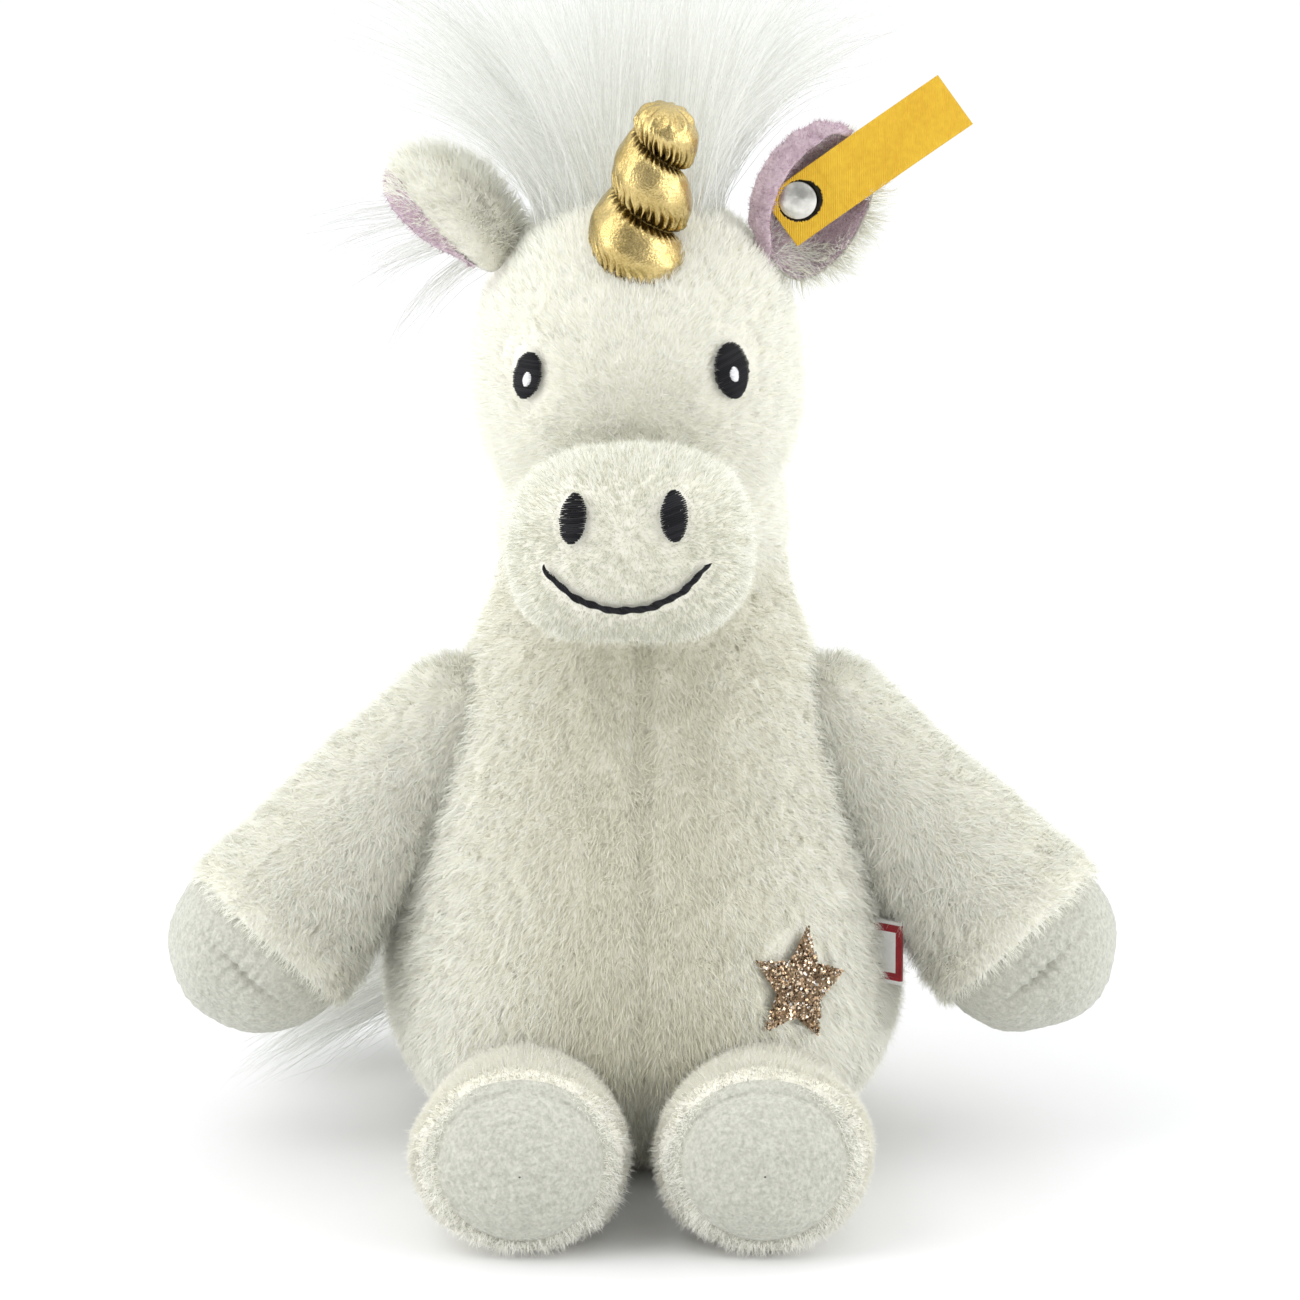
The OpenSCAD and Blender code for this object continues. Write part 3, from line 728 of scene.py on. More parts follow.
def on_face(x, z, lift):
    """A point dropped onto the head from its front, in the head's own frame."""
    hit, normal, _, _ = face_tree.ray_cast(Vector((x, -200, z)), Vector((0, 1, 0)))
    return np.array(hit + (-normal if normal.y > 0 else normal) * lift)


black_thread = tinted("black_thread", [(0.006, 0.006, 0.008), (0.016, 0.016, 0.019)], roughness=0.55, specular=0.22)
STITCH_SLOPE = 0.175
white_thread = tinted("white_thread", [(0.92, 0.92, 0.93), (0.82, 0.83, 0.85)], roughness=0.45, specular=0.5)


def satin_oval(x, z, w, h, tilt, lift, pitch, rng):
    """Stitches side by side across a tilted oval."""
    a = math.radians(tilt)
    lines = []
    for v in np.arange(-h / 2 + pitch / 2, h / 2, pitch):
        half = w / 2 * math.sqrt(max(1 - (2 * v / h) ** 2, 0.04)) * rng.uniform(0.94, 1.05)
        line = []
        for u in np.linspace(-half, half, 9):
            across, along = u, v + STITCH_SLOPE * u
            line.append(on_face(x + across * math.cos(a) - along * math.sin(a),
                                z + across * math.sin(a) + along * math.cos(a), lift + 0.35 * (1 - (u / half) ** 2)))
        lines.append(line)
    return lines


def smile_stitches():
    """Short stitches across the smile's arc, thinner at its ends."""
    reach = math.asin(SMILE_HALF / SMILE_R)
    lines = []
    for k, a in enumerate(np.arange(-reach, reach, 0.36 / SMILE_R)):
        half = 0.78 * (1 - 0.35 * abs(a / reach) ** 3)
        line = []
        for t in (-1, -0.5, 0, 0.5, 1):
            q = a + t * half * 0.9 / SMILE_R
            r = SMILE_R + t * half * 0.8 + 0.22 * math.sin(0.55 * k) * math.sin(0.21 * k + 1)
            line.append(on_face(r * math.sin(q), SMILE_Z + SMILE_R - SMILE_DROP - r * math.cos(q),
                                0.95 + 0.2 * (1 - t * t)))
        lines.append(line)
    return lines


def embroider():
    rng = np.random.default_rng(5)

    def stitch(name, lines, radius, threads, slot, node):
        lines = head_point(np.array(lines))
        slots = rng.integers(0, len(threads), len(lines))
        mount(tubes(name, lines, radius, threads, slots), "head", slot, node)

    for name, side in SIDES.items():
        small = 1.0 if side > 0 else 0.87
        tilt = side * EYE_TILT
        stitch(f"eye_thread_{name}",
               satin_oval(side * EYE_X, EYE_Z, EYE_W * small, EYE_H * small, tilt, 1.2, 0.34, rng),
               0.25, black_thread, "black_thread", f"eye_{name}")
        stitch(f"highlight_thread_{name}", satin_oval(side * EYE_X + 0.2, EYE_Z - 0.7, 1.5, 2.6, tilt, 1.65, 0.3, rng),
               0.2, white_thread, "white_thread", f"eye_highlight_{name}")
        stitch(f"nostril_thread_{name}",
               satin_oval(side * NOSTRIL_X, NOSTRIL_Z, NOSTRIL_W, NOSTRIL_H, side * 6, 1.0, 0.34, rng),
               0.25, black_thread, "black_thread", f"nostril_{name}")
    stitch("smile_thread", smile_stitches(), 0.24, black_thread, "black_thread", "smile_line")


embroider()

# ---------------------------------------------------------------- horn

HORN_POS, HORN_R, HORN_LEN = np.array([0.0, -15.0, 172.0]), 10.8, 36.0
HORN_AXES = turn("X", 12) @ turn("Y", 15)
# Shares of the length: from one turn of the groove to the next, and where it starts
HORN_PITCH, HORN_START = 0.35, 0.29


def wrapped(a):
    return (a + math.pi) % (2 * math.pi) - math.pi


def gold_foil():
    """Foil on cloth: mirror-like metal with a fine crackle and worn, duller patches, and two darker copies that paint
    shade into the pleat folds and the groove.
    """
    looks = [("gold_foil", (0.42, 0.31, 0.11), (0.72, 0.56, 0.25)),
             ("gold_foil_fold_shade", (0.24, 0.17, 0.055), (0.44, 0.33, 0.13)),
             ("gold_foil_crease_shade", (0.07, 0.045, 0.012), (0.17, 0.12, 0.04))]
    return [cloth_material(*look, 2400, 0.35, 0.24, 0.0, metallic=1.0, mottle=160) for look in looks]


def make_horn():
    rows, columns = 250, 380
    s = np.linspace(-0.05, 1.0, rows)[:, None] + np.zeros(columns)
    a = full_turn(columns)[None, :] + np.zeros((rows, 1))
    groove_at = -2 * math.pi * (s - HORN_START) / HORN_PITCH
    from_groove = wrapped(a - groove_at)
    body = HORN_R * (1 - 0.50 * np.clip(s, 0, 1) ** 0.72)
    body = body * (0.78 + 0.22 * np.clip(s / 0.09, 0, 1))
    cap = np.sqrt(np.clip(1 - (np.clip(s - 0.84, 0, 1) / 0.16) ** 2, 0, 1))
    fade = np.clip((s + 0.02) / 0.2, 0, 1) * np.clip((0.97 - s) / 0.12, 0, 1)
    groove = np.exp(-np.abs(from_groove / 0.42) ** 1.5)
    bulge = 0.5 + 0.5 * np.cos(from_groove - math.pi)
    r = body * (1 + fade * (0.07 * bulge - 0.24 * groove))
    below = np.clip(from_groove, 0, None)
    above = np.clip(-from_groove, 0, None)
    near_low = np.exp(-((below / 1.5) ** 2)) * (from_groove > 0) * (1 - np.exp(-((below / 0.12) ** 2)))
    near_high = np.exp(-((above / 0.55) ** 2)) * (from_groove < 0)
    q = np.stack([np.cos(a) * 9, np.sin(a) * 9, s * 40], axis=-1).reshape(-1, 3)
    jitter = lumps(q, 5.0, 101).reshape(s.shape)
    slant = 34 * a + 60 * s
    pleats = 1 - 2.4 * np.abs(np.sin(slant / 2 + 1.1 * jitter)) ** 0.7 + 0.4 * np.sin(1.7 * slant + 1.7 * jitter)
    front = 0.65 + 0.35 * np.cos(wrapped(a + 1.2))
    r = r + fade * 0.70 * pleats * near_low * front + fade * 0.25 * pleats * near_high
    r = r + 0.10 * lumps(q, 4.0, 102).reshape(s.shape) + 0.16 * lumps(q, 9.0, 103).reshape(s.shape)
    tip = np.clip((s - 0.90) / 0.1, 0, 1)
    r = r * cap + tip * (1 - tip) * 1.9 * np.sin(9 * a + 1.5)
    r = np.maximum(r, 0.05)
    drift = 0.6 * fade * body / HORN_R
    x = r * np.cos(a) - drift * np.cos(groove_at)
    y = r * np.sin(a) - drift * np.sin(groove_at)
    z = HORN_LEN * s - 0.9 * tip ** 3
    local = np.stack([x, y, z], axis=-1)
    points = head_point(HORN_POS + local.reshape(-1, 3) @ HORN_AXES.T)
    faces = grid_faces(rows, columns)
    # Painted shade: faces deep in the pleats and in the groove get the darker fold and crease foils.
    pleat_shade = (fade * (near_low * front + 0.5 * near_high) * np.clip(-pleats, 0, None) + 0.5 * groove * fade).ravel()
    pleat_shade = pleat_shade[faces].mean(axis=1)
    obj = fast_mesh("horn_foil", points, [faces], gold_foil(), np.clip((pleat_shade - 0.16) / 0.16, 0, 2).astype(int))
    mount(obj, "head", "gold_foil", "horn_cover", "horn_thread", "horn_stuffing", fill=0.7)


make_horn()

# ---------------------------------------------------------------- ears

EAR_ROOT, EAR_RISE = np.array([22.0, 0.0, 177.0]), 30
EARS = {"left": (1, 0.0), "right": (-1, 120.0)}
EAR_OUTLINE = {
    "left": [(1, -8), (2.5, 0.5), (9, 5), (16, 8.2), (22, 8.6), (26, 6), (27, 0), (24.5, -6), (19, -10.5),
             (12, -13.5), (4, -13.5)],
    "right": [(0, 6), (0, -3), (6, -8.5), (14, -11.5), (22, -10.5), (27, -5), (27.5, 2), (24, 8), (17, 11),
              (9, 12), (2, 11.5)],
}
# The middle of each ear's outline, in millimetres in the ear's own frame
EAR_CENTRE = {"left": np.array([15.0, -2.5]), "right": np.array([14.0, 0.0])}
# How far the middle of an ear lies behind its rim, and how thick it is there
EAR_DEPTH, EAR_THICK = 3.6, 2.6


def smooth_ring(points, count):
    """A smooth closed curve through a few points."""
    p = np.array(points, float)
    n = len(p)
    t = np.linspace(0, n, count, endpoint=False)
    i = t.astype(int)
    f = (t - i)[:, None]
    a, b, c, d = p[(i - 1) % n], p[i % n], p[(i + 1) % n], p[(i + 2) % n]
    return 0.5 * (2 * b + (c - a) * f + (2 * a - 5 * b + 4 * c - d) * f ** 2 + (3 * b - a - 3 * c + d) * f ** 3)


def ear_point(name, p):
    """From an ear's own frame to the toy's frame."""
    side, twist = EARS[name]
    return head_point(mirrored(EAR_ROOT + np.asarray(p) @ (turn("Y", -EAR_RISE) @ turn("X", twist)).T, side))


def ear_way(name, way):
    """A direction of an ear's own frame, in the toy's frame."""
    return unit(ear_point(name, way) - ear_point(name, [0, 0, 0]))


def ear_surface(name, rho, around, grow=0.0):
    """A scooped leaf: rows at each share rho of the way out. grow is how much larger its outline is."""
    edge = smooth_ring(EAR_OUTLINE[name], around)
    centre = EAR_CENTRE[name]
    edge = centre + (edge - centre) * (1 + grow / np.linalg.norm(edge - centre, axis=1, keepdims=True))
    rho = np.asarray(rho)[:, None, None]
    flat = centre + (edge - centre) * rho
    x, z = flat[..., 0], flat[..., 1]
    scoop = EAR_DEPTH * (1 - rho[..., 0] ** 2.2) * np.clip(0.35 + x / 18, 0, 1)
    curl = 0.5 * np.clip(x - 12, 0, None) / 12 - 0.8 * rho[..., 0] ** 6
    q = np.stack([x, 0 * x, z], axis=-1).reshape(-1, 3)
    y = scoop + curl + 0.5 * lumps(q, 13, 120).reshape(x.shape)
    return np.stack([x, y, z], axis=-1)


lilac_cloth = cloth_material("lilac_velour", (0.52, 0.38, 0.45), (0.72, 0.58, 0.64), 1500, 1.0, sheen=0.5, mottle=300)
lilac_pile = tinted("lilac_pile", LILAC_TINTS, roughness=0.7, sheen=0.3, specular=0.2)


def closed_up(obj):
    """Joins the open rims of two sheets made as one mesh and turns every face outward."""
    made = bmesh.new()
    made.from_mesh(obj.data)
    bmesh.ops.remove_doubles(made, verts=made.verts, dist=0.00002)
    bmesh.ops.recalc_face_normals(made, faces=made.faces)
    made.to_mesh(obj.data)
    made.free()
    return obj


def ear_thickness(rho):
    return EAR_THICK * np.sqrt(np.clip(1 - rho ** 3, 0, 1))


def edge_nap(name, edge, length, seed):
    towards = ear_way(name, [25, 0, 6])
    grow_fur(f"ear_edge_nap_{name}", edge, f"ear_{name}", 7.0, length, lambda p, up: towards + 0.7 * up, lilac_pile,
             seed, **NAP)


def make_rolled_edge():
    """The lilac lining of the right ear rolls round its lower edge, and shows there as a soft band."""
    front, back = np.linspace(0.90, 1.02, 6), np.linspace(1.03, 0.60, 18)
    rho = np.concatenate([front, back])
    band = ear_surface("right", rho, 200)
    band[..., 1] += np.concatenate([0 * front - 0.5, ear_thickness(np.clip(back, 0, 1)) + 0.55])[:, None]
    p = band.reshape(-1, 3) + np.array([0, 0.14, 0]) * lumps(band.reshape(-1, 3), 2.4, 131)[:, None]
    faces = grid_faces(len(rho), 200)
    z, x = p[faces][..., 2].mean(axis=1), p[faces][..., 0].mean(axis=1)
    row = faces[:, 0] // 200
    wide = np.clip(np.minimum((z + 0.5) / 6, (x - 5) / 16), 0, 1)
    faces = faces[(wide > 0) & (row < 5 + 7 * wide)]
    obj = fast_mesh("ear_edge_right", ear_point("right", p), [faces], lilac_cloth)
    mount(obj, "ear_right", "lining", "ear_lining_right")
    edge_nap("right", obj, 1.5, 153)


def make_ear(name):
    side = EARS[name][0]
    body = f"ear_{name}"
    rho = np.linspace(0.02, 1, 26)
    front = ear_surface(name, rho, 120)
    back = front.copy()
    back[..., 1] += ear_thickness(rho)[:, None]
    shell = np.concatenate([front, back[::-1]]).reshape(-1, 3)
    skin = closed_up(fast_mesh(f"ear_skin_{name}", ear_point(name, shell), [grid_faces(52, 120)], shaded_backing))
    mount(skin, body, "plush", f"ear_back_{name}", fill=0.5)

    lining = ear_surface(name, np.linspace(0.02, 1, 30), 160, -0.6)
    lining[..., 1] -= 0.45
    p = lining.reshape(-1, 3)
    p[:, 1] += 0.12 * lumps(p, 2.2, 130)
    inner = fast_mesh(f"ear_lining_skin_{name}", ear_point(name, p), [grid_faces(30, 160)[:, ::-side]], lilac_cloth)
    mount(inner, body, "lining", f"ear_lining_{name}")

    middle = ear_point(name, [EAR_CENTRE[name][0], 0, EAR_CENTRE[name][1]])
    outward, front_way, rim_way = (ear_way(name, way) for way in ([25, 0, 0], [0, -1, 0], [0, 0, 1]))

    def flow(p, up):
        return outward + 0.8 * unit(p - middle) + 0.15 * front_way

    def keep(p, up):
        facing = up @ front_way
        ring = np.linalg.norm(p - middle, axis=1)
        if side < 0:
            return np.where(facing > 0.1, 0, np.where((p - middle) @ rim_way > 8, 0.5, 0.95))
        fringe = np.where((p - middle) @ rim_way < -3, 1.6, 0.9)
        return np.where((facing > 0.6) & (ring < 9), 0, np.where(facing > 0.4, 0.6 * fringe, fringe))

    grow_fur(f"ear_fur_{name}", skin, body, 5.0, 5.2, flow, plush, 140 + side, keep=keep, lean=(25, 60), width=0.24)
    grow_fur(f"ear_nap_{name}", inner, body, 7.0, 1.1, flow, lilac_pile, 150 + side, **NAP)


def make_folded_edge():
    """The upper edge of the left ear folds forward in a soft roll that covers the ribbon's corner."""
    path = smooth_ring([(1.5, -7.5), (3.0, -0.5), (6.0, 4.2), (12, 8.2), (18.5, 9.8), (24, 9.0), (27, 6.3),
                        (27, 6.3)], 160)[:126]
    t = np.linspace(0, 1, len(path))
    forward = -2.6 - 1.6 * np.sin(math.pi * np.clip(t * 1.6, 0, 1)) + 1.2 * t
    size = np.sin(math.pi * np.clip(t, 0.01, 0.99)) ** 0.5 * (1.15 - 0.45 * t)
    along = unit(np.gradient(path, axis=0))
    a = full_turn(36)
    across, thick = 2.5 * size[:, None] * np.cos(a), 1.5 * size[:, None] * np.sin(a)
    x = path[:, :1] - along[:, 1:] * across
    z = path[:, 1:] + along[:, :1] * across
    y = forward[:, None] + thick + 0.35 * across
    p = np.stack([x, y, z], axis=-1).reshape(-1, 3)
    p += 0.3 * np.stack([lumps(p, 4, 161), lumps(p, 4, 162), lumps(p, 4, 163)], axis=1)
    obj = fast_mesh("ear_edge_left", ear_point("left", p), [grid_faces(len(path), 36)[:, ::-1]], lilac_cloth)
    mount(obj, "ear_left", "lining", "ear_lining_left", fill=0.4)
    edge_nap("left", obj, 1.4, 154)


for ear in EARS:
    make_ear(ear)
make_rolled_edge()
make_folded_edge()

# ---------------------------------------------------------------- ribbon and button

BUTTON_POS, RIBBON_TURN, RIBBON_END, RIBBON_SIDE = np.array([11.7, -1.2, 0.5]), 4, 5.2, -1.4
RIBBON_LEN, RIBBON_W = 41.0, 11.5


def button_point(p):
    """From the button's frame, whose third axis points away from the ear, to the toy's frame."""
    return ear_point("left", BUTTON_POS + np.asarray(p) @ turn("X", 90).T)


def make_ribbon():
    columns, rows = 161, 49
    u, v = np.meshgrid(np.linspace(0, RIBBON_LEN, columns), np.linspace(-RIBBON_W / 2, RIBBON_W / 2, rows))
    lift = 1.4 + 0.0016 * (u - 10) ** 2 + 0.10 * np.sin(u / 5.5) * (u > 12) + 0.10 * np.cos(v / 3.4)
    along, across, a = u - RIBBON_END, v + RIBBON_SIDE, math.radians(RIBBON_TURN)
    x = along * math.cos(a) - across * math.sin(a)
    y = along * math.sin(a) + across * math.cos(a)
    points = np.stack([x, y, lift], axis=-1).reshape(-1, 3)
    faces = grid_faces(rows, columns, closed=False)
    mid = points[faces].mean(axis=1)
    faces = faces[((mid[:, 0] - 0.45) / 4.3) ** 2 + ((mid[:, 1] + 0.3) / 4.0) ** 2 > 1]
    cloth = cloth_material("ribbon_weave", (0.78, 0.44, 0.015), (0.90, 0.56, 0.03), 900, 0.5, 0.55, 0.25, weave=900,
                           mottle=90)
    obj = fast_mesh("ear_ribbon_cloth", button_point(points), [faces], cloth)
    thicken(obj, 0.35, 0)
    mount(obj, "ribbon", "ribbon", "ear_ribbon")


make_ribbon()


def make_button_ring():
    """The washer, a dished ring that shows between the button and the edge of the ribbon's hole, near-black as painted
    shadow in that gap.
    """
    outline = np.array([[0.05, 0.5], [3.0, 0.5], [3.6, 0.9], [4.1, 1.25], [4.35, 1.1], [4.1, 0.8]])
    ring = turned(resampled(outline, 24), 72).reshape(-1, 3) * np.array([1.03, 0.95, 1]) + np.array([0.45, -0.3, 0])
    # Near-black finish on the real washer: painted shadow in the gap round the button.
    dark = cloth_material("washer_shadow_metal", (0.015, 0.012, 0.01), (0.06, 0.05, 0.04), 700, 0.3, 0.5, 0.0, metallic=0.6)
    obj = fast_mesh("button_ring", button_point(ring), [grid_faces(24, 72)], dark)
    mount(obj, "ear_left", "button", "button_washer")


make_button_ring()

# ---------------------------------------------------------------- star and label on the body

FLAKES = 3200


def star_axes():
    """The directions across, up and out of the star at its middle."""
    a = math.radians(STAR_AZIMUTH)
    out = unit([math.sin(a), -math.cos(a), -0.08])
    across = unit(np.cross(np.array([0, 0, 1.0]), out))
    return across, np.cross(out, across), out


def star_reach(angle):
    """How far the star goes in a direction from its middle."""
    step = math.pi / 5
    k = (angle - math.pi / 2 - math.radians(STAR_TURN)) % (2 * step)
    k = np.minimum(k, 2 * step - k)
    tip = np.array([STAR_R, 0])
    dent = STAR_NOTCH * np.array([math.cos(step), math.sin(step)])
    edge = dent - tip
    return (tip[0] * edge[1] - tip[1] * edge[0]) / (np.cos(k) * edge[1] - np.sin(k) * edge[0])


def on_torso(tree, x, y, lift):
    """Points laid on the torso round the star's middle, with the outward direction at each."""
    across, upward, out = star_axes()
    start = np.array([0, 0, STAR_Z]) + 90 * out
    laid, ways = [], []
    for i, j in zip(np.ravel(x), np.ravel(y)):
        hit, normal, _, _ = tree.ray_cast(Vector(start + across * i + upward * j), Vector(-out))
        laid.append(hit)
        ways.append(normal)
    laid, ways = np.array(laid), np.array(ways)
    return laid + unit(ways) * np.ravel(lift)[:, None], ways


def make_star():
    tree = skin_tree(torso_skin)
    rings, around = 16, 100
    a = full_turn(around)
    rho = np.linspace(0.03, 1, rings)[:, None]
    x, y = rho * star_reach(a) * np.cos(a), rho * star_reach(a) * np.sin(a)
    lift = 2.5 - 0.8 * rho ** 4 + 0 * a
    points, _ = on_torso(tree, x, y, lift)
    cloth = cloth_material("glitter_cloth", (0.26, 0.17, 0.10), (0.46, 0.34, 0.22), 2600, 1.0, 0.4, 0.0, metallic=0.6)
    obj = fast_mesh("star_cloth", points, [grid_faces(rings, around)], cloth)
    mount(obj, "torso", "glitter", "star_patch")

    rng = np.random.default_rng(77)
    a = rng.uniform(0, 2 * math.pi, FLAKES)
    rho = np.sqrt(rng.random(FLAKES))
    pick = rng.random(FLAKES) < (star_reach(a) / STAR_R) ** 2
    a, rho = a[pick], rho[pick]
    reach = star_reach(a) * rho
    lift = 2.65 - 0.8 * rho ** 4 + rng.uniform(0, 0.35, len(a))
    middle, out = on_torso(tree, reach * np.cos(a), reach * np.sin(a), lift)
    tilt = unit(out + rng.normal(0, 0.42, out.shape))
    side = unit(np.cross(tilt, rng.normal(size=out.shape)))
    other = np.cross(tilt, side)
    size = rng.uniform(0.16, 0.34, len(a))[:, None]
    corners = [middle + size * (side * math.cos(t) + other * math.sin(t)) for t in np.arange(0, 6) * math.pi / 3]
    verts = np.stack(corners, axis=1).reshape(-1, 3)
    base = (np.arange(len(a)) * 6)[:, None]
    quads = np.concatenate([base + np.array([[0, 1, 2, 3]]), base + np.array([[0, 3, 4, 5]])])
    tints = [(0.66, 0.49, 0.33), (0.92, 0.80, 0.64), (0.42, 0.28, 0.17), (0.96, 0.93, 0.88), (0.16, 0.11, 0.07)]
    flake = tinted("glitter_flake", tints, roughness=0.18, metallic=1.0)
    slots = np.tile(rng.choice(len(tints), len(a), p=[0.26, 0.12, 0.26, 0.07, 0.29]), 2)
    mount(fast_mesh("star_glitter", verts, [quads], flake, slots, smooth=False), "torso", "glitter")


make_star()


def make_label():
    """A woven tape folded once and sewn into the left side seam."""
    leaf, width, gap, rows, columns = 6.2, 12.5, 1.3, 60, 51
    fold = np.concatenate([[[0, 0.25], [leaf - gap / 2, gap / 2]], arc(gap / 2, leaf - gap / 2, 0, 80, -80, 9),
                           [[leaf - gap / 2, -gap / 2], [0, -0.25]]])
    line = resampled(fold, rows)
    z = np.linspace(-width / 2, width / 2, columns)
    a = math.radians(23)
    out, side = np.array([math.cos(a), -math.sin(a), 0]), np.array([math.sin(a), math.cos(a), 0])
    at = np.array([48.5 * math.cos(a), -48.5 * math.sin(a), 40.0])
    droop = 0.02 * line[:, 0] ** 2
    points = at + line[:, None, 0, None] * out + line[:, None, 1, None] * side
    points = points + z[None, :, None] * np.array([0, 0.06, 1.0]) - droop[:, None, None] * np.array([0, 0, 0.3])
    faces = grid_faces(rows, columns, closed=False)
    row, column = faces[:, 0] // columns, faces[:, 0] % columns
    near_fold = np.abs(row - (rows - 1) / 2)
    red = ((column < 9) | (column > 40) | (near_fold < 7)) & (column > 2) & (column < 47)
    cloths = [
        cloth_material("label_white", (0.80, 0.80, 0.78), (0.90, 0.90, 0.88), 900, 0.5, 0.7, 0.2, weave=1500),
        cloth_material("label_red", (0.24, 0.008, 0.014), (0.36, 0.014, 0.022), 900, 0.5, 0.7, 0.2, weave=1500),
    ]
    obj = fast_mesh("side_label_cloth", points.reshape(-1, 3), [faces], cloths, red.astype(int))
    thicken(obj, 0.25, -1)
    mount(obj, "torso", "label", "side_label")


make_label()

# ---------------------------------------------------------------- long hair

hair = tinted("long_hair", HAIR_TINTS, roughness=0.55, sheen=0.1, specular=0.35)


def grow_locks(name, body, locks, per_lock, steps, width, seed, *nodes):
    """Locks of long hair. Each lock is (root, tip, bend, root spread, tip spread)."""
    rng = np.random.default_rng(seed)
    per_lock = max(8, int(per_lock * (1.0)))
    t = np.linspace(0, 1, steps)[None, :, None]
    spines = []
    for root, tip, bend, spread, fray in locks:
        root, tip, bend = (np.asarray(v, float) for v in (root, tip, bend))
        length = np.linalg.norm(tip - root)
        start = root + rng.normal(0, spread, (per_lock, 3))
        size = rng.uniform(0.62, 1.06, (per_lock, 1, 1))
        aim = tip + rng.normal(0, fray, (per_lock, 3))
        arch = bend + rng.normal(0, 0.035, (per_lock, 3)) * length
        s = t * size
        line = start[:, None] * (1 - s) + aim[:, None] * s + 4 * s * (1 - s) * arch[:, None]
        pinch = np.sin(math.pi * np.clip(s * 1.1, 0, 1)) * 0.35
        centre = root * (1 - s) + tip * s + 4 * s * (1 - s) * bend
        line = line * (1 - pinch) + centre * pinch
        wave = rng.uniform(0, 2 * math.pi, (per_lock, 1, 1))
        line = line + 0.012 * length * s * np.sin(5 * s + wave) * unit(rng.normal(size=(per_lock, 1, 3)))
        spines.append(line)
    spine = np.concatenate(spines)
    count = len(spine)
    along = unit(spine[:, -1] - spine[:, 0])
    face_up = unit(np.cross(along, rng.normal(size=(count, 3))))
    thick = width * rng.uniform(0.7, 1.25, count)
    obj = blades(name, spine, thick, face_up, None, hair, rng)
    obj.visible_shadow = False
    mount(obj, body, "long_hair", *nodes)


def crown_root(x, back):
    """A point on the crown: back runs from 0 behind the horn to 1 low on the nape."""
    a = math.radians(100 - 118 * back)
    flat = math.sqrt(1 - (x / HEAD_R) ** 2)
    return np.array([x, (HEAD_R - 1) * math.cos(a) * flat, HEAD_Z + (HEAD_H - 1) * math.sin(a) * flat])


def on_head(locks):
    return [(head_point(root), head_point(tip), *rest) for root, tip, *rest in locks]


def make_mane():
    rng = np.random.default_rng(301)
    locks = []
    for _ in range(170):
        back = rng.uniform(-0.02, 0.42)
        x = rng.uniform(-15, 14)
        root = crown_root(x, back)
        spread = np.clip(rng.normal(0, 17) + 2.2 * x, -54, 46)
        length = rng.uniform(44, 60) * (1 - 0.003 * abs(spread))
        side, rear = math.radians(spread), math.radians(rng.uniform(-14, 36) + 22 * back)
        way = np.array([math.sin(side), math.sin(rear) * math.cos(side), math.cos(side) * math.cos(rear)])
        tip = root + way * length
        bend = np.array([-0.10 * math.sin(side), rng.uniform(-0.05, 0.05), 0.10 * abs(math.sin(side))]) * length
        tip[2] = min(tip[2], 242)
        locks.append((root, tip, bend, 1.7, rng.uniform(2.0, 5.0)))
    wisps = [(-9, 0.1, (-59, 6, 221), 9), (-8, 0.15, (-56, 10, 231), 10), (-9, 0.2, (-52, 14, 213), 8),
             (-10, 0.1, (-60, 2, 228), 12), (-7, 0.2, (-48, 8, 236), 10), (-9, 0.15, (-45, 4, 222), 12),
             (9, 0.1, (50, 6, 216), 11), (8, 0.15, (42, 10, 229), 10), (9, 0.2, (47, 14, 208), 9),
             (8, 0.1, (40, 4, 218), 12), (7, 0.2, (33, 8, 236), 9)]
    for x, back, tip, lift in wisps:
        root = crown_root(x, back)
        locks.append((root, root + 1.16 * (tip - root) * np.array([1, 1, 0.9]), (0, 0, lift), 1.8, 2.4))
    grow_locks("mane_locks", "head", on_head(locks), 70, 8, 0.16, 302, "mane_hair")
    nape = []
    for _ in range(46):
        back = rng.uniform(0.35, 1.0)
        x = rng.uniform(-9, 9)
        fall = np.array([x * 0.9 + rng.normal(0, 5), 11 - 6 * back + rng.normal(0, 2),
                         -30 + 8 * back + rng.normal(0, 4)])
        root = crown_root(x, back)
        nape.append((root, root + fall, (0, 5, 3), 1.6, 2.5))
    for tip in ((-67, 10, 176), (-63, 12, 171), (-60, 10, 164), (-55, 12, 163), (-50, 8, 152), (-44, 10, 156)):
        nape.append((crown_root(-12, 0.45), tip, (-4, 6, 5), 1.2, 1.3))
    grow_locks("nape_locks", "head", on_head(nape), 70, 7, 0.16, 303)


make_mane()


def make_tail():
    rng = np.random.default_rng(311)
    root = joint_place("tail_swing")
    locks = []
    for _ in range(34):
        tip = root + np.array([-76 + rng.normal(0, 6), -36 + rng.normal(0, 8), -15 + rng.normal(0, 5)])
        tip[2] = max(tip[2], 1.5)
        locks.append((root + rng.normal(0, 2.2, 3), tip, (-4, 7, 3.5), 1.0, 2.2))
    grow_locks("tail_locks", "tail", locks, 90, 7, 0.18, 312, "tail_hair")


make_tail()

# ---------------------------------------------------------------- CAD parts that stay, mostly inside

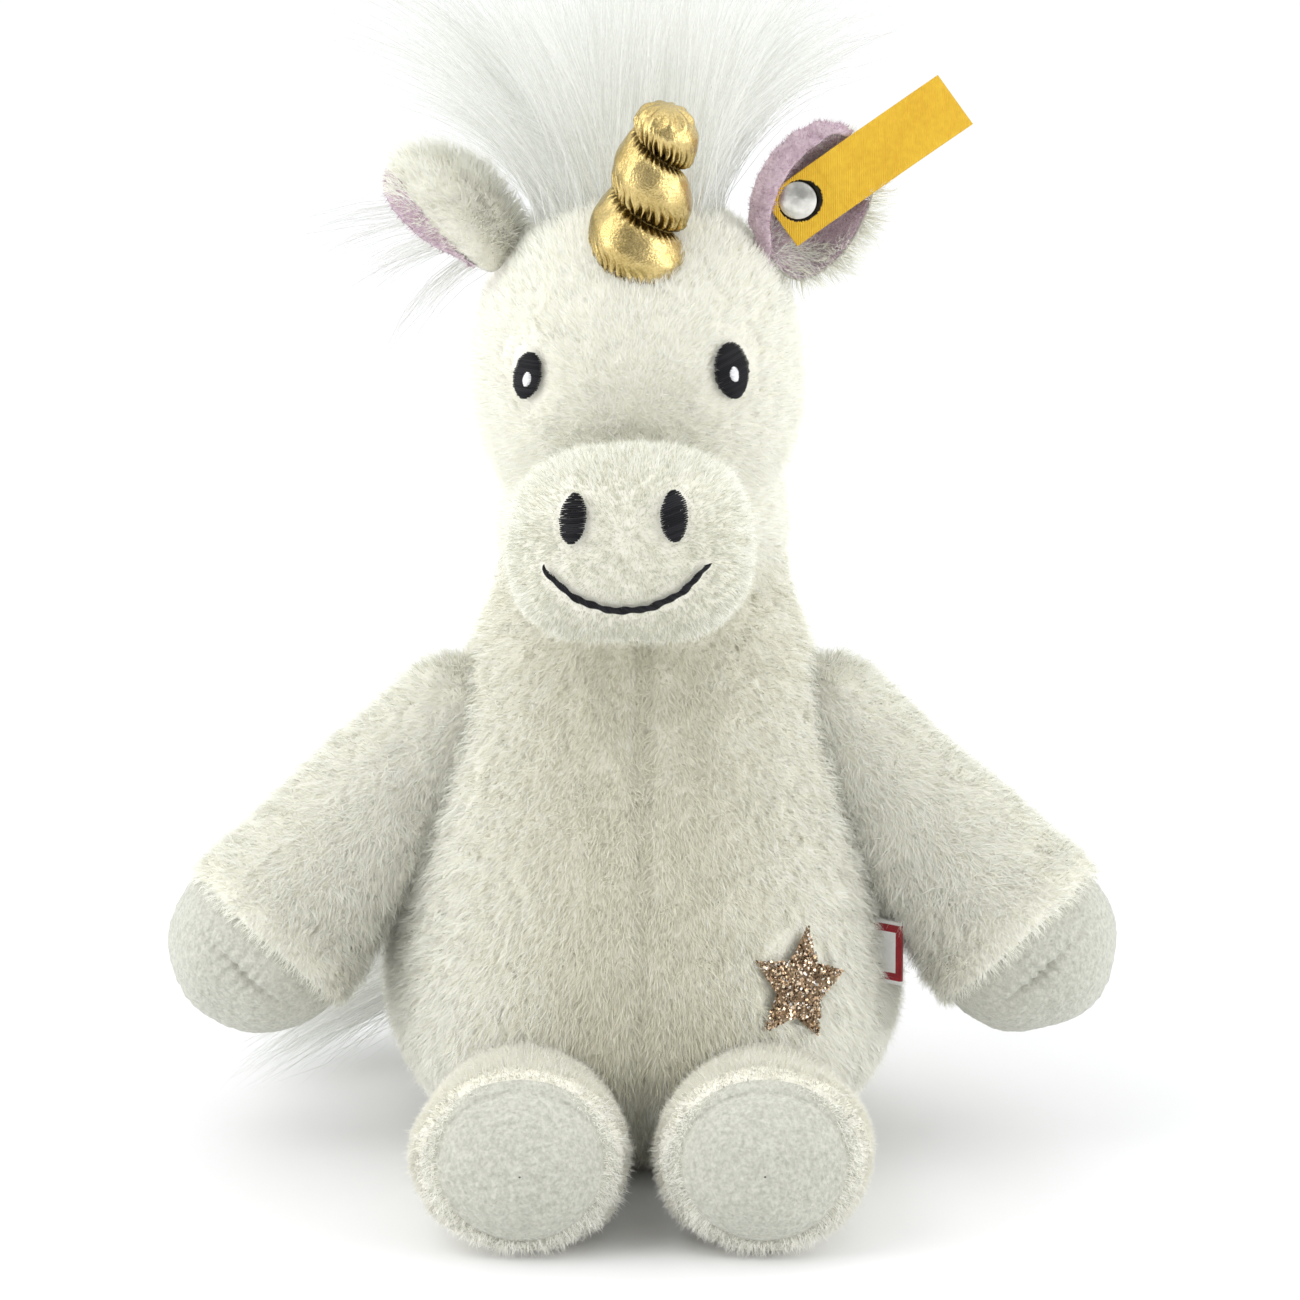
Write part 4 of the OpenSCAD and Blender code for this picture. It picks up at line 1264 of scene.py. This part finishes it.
WOVEN_TAPE = cloth_material("woven_tape", (0.72, 0.70, 0.66), (0.86, 0.84, 0.80), 900, 0.6, weave=1300)
STAYS = {
    "pellet_pouch": cloth_material("pouch_cloth", (0.66, 0.62, 0.54), (0.80, 0.76, 0.68), 900, 0.8, weave=1200),
    "seat_pellets": cloth_material("pellets", (0.70, 0.72, 0.74), (0.88, 0.90, 0.92), 350, 1.0, 0.35, 0.0),
    "mane_strip": WOVEN_TAPE,
    "tail_tape": WOVEN_TAPE,
    "button_cap": cloth_material("button_metal", (0.55, 0.54, 0.50), (0.80, 0.79, 0.74), 700, 0.25, 0.3, 0.0,
                                 metallic=1.0, mottle=500),
}
for stay, look in STAYS.items():
    stay_mesh = frame["nodes"][stay].data
    stay_mesh.materials.clear()
    stay_mesh.materials.append(look)
    for polygon in stay_mesh.polygons:
        polygon.material_index = 0

# ---------------------------------------------------------------- camera, light and floor

TARGET = np.array([1.4, -2.4, 95.6])
ELEVATION, DISTANCE, LENS = 14.0, 1200.0, 171.0
# Where the lights aim, in metres
LIT_POINT = (0, 0, 0.08)


def aim(obj, place, target):
    obj.location = Vector(place)
    obj.rotation_euler = (Vector(target) - Vector(place)).to_track_quat("-Z", "Y").to_euler()


def add_camera():
    e = math.radians(ELEVATION)
    place = TARGET + DISTANCE * np.array([0, -math.cos(e), math.sin(e)])
    data = bpy.data.cameras.new("camera")
    data.lens, data.sensor_width = LENS, 36
    data.clip_start, data.clip_end = 0.05, 50
    camera = linked("camera", data)
    aim(camera, place * MM, TARGET * MM)
    bpy.context.scene.camera = camera


def add_light(name, place, size, power):
    data = bpy.data.lights.new(name, "AREA")
    data.shape, data.size, data.energy = "SQUARE", size, power
    aim(linked(name, data), place, LIT_POINT)


def add_studio():
    """A white room, brightest at the sides and overhead and dimmest on the camera's side."""
    world = bpy.data.worlds.new("studio")
    world.use_nodes = True
    tree = world.node_tree
    ways = add_node(tree, "SeparateXYZ", Vector=add_node(tree, "TexCoord").outputs["Generated"])
    top = math_node(tree, "MULTIPLY", math_node(tree, "MAXIMUM", ways.outputs["Z"], 0.0), 0.82)
    sides = math_node(tree, "MULTIPLY", math_node(tree, "ABSOLUTE", ways.outputs["X"], 0.0), 0.88)
    back = math_node(tree, "MULTIPLY", ways.outputs["Y"], 0.25)
    total = math_node(tree, "ADD", math_node(tree, "ADD", top, sides), math_node(tree, "ADD", back, 0.26))
    tree.links.new(total, tree.nodes["Background"].inputs["Strength"])
    tree.nodes["Background"].inputs["Color"].default_value = (0.98, 0.99, 1.0, 1)
    bpy.context.scene.world = world
    add_light("key", (-0.5, -0.35, 0.95), 0.45, 1.5)
    add_light("left", (-0.95, -0.38, 0.36), 0.5, 2.6)
    add_light("right", (0.95, -0.38, 0.36), 0.5, 2.7)
    bpy.ops.mesh.primitive_plane_add(size=16)
    floor = bpy.context.object
    floor.name = "floor"
    floor.data.materials.append(plain_material("floor", (0.87, 0.87, 0.87), roughness=0.9))
    bpy.context.scene.view_settings.view_transform = "Standard"


add_camera()
add_studio()
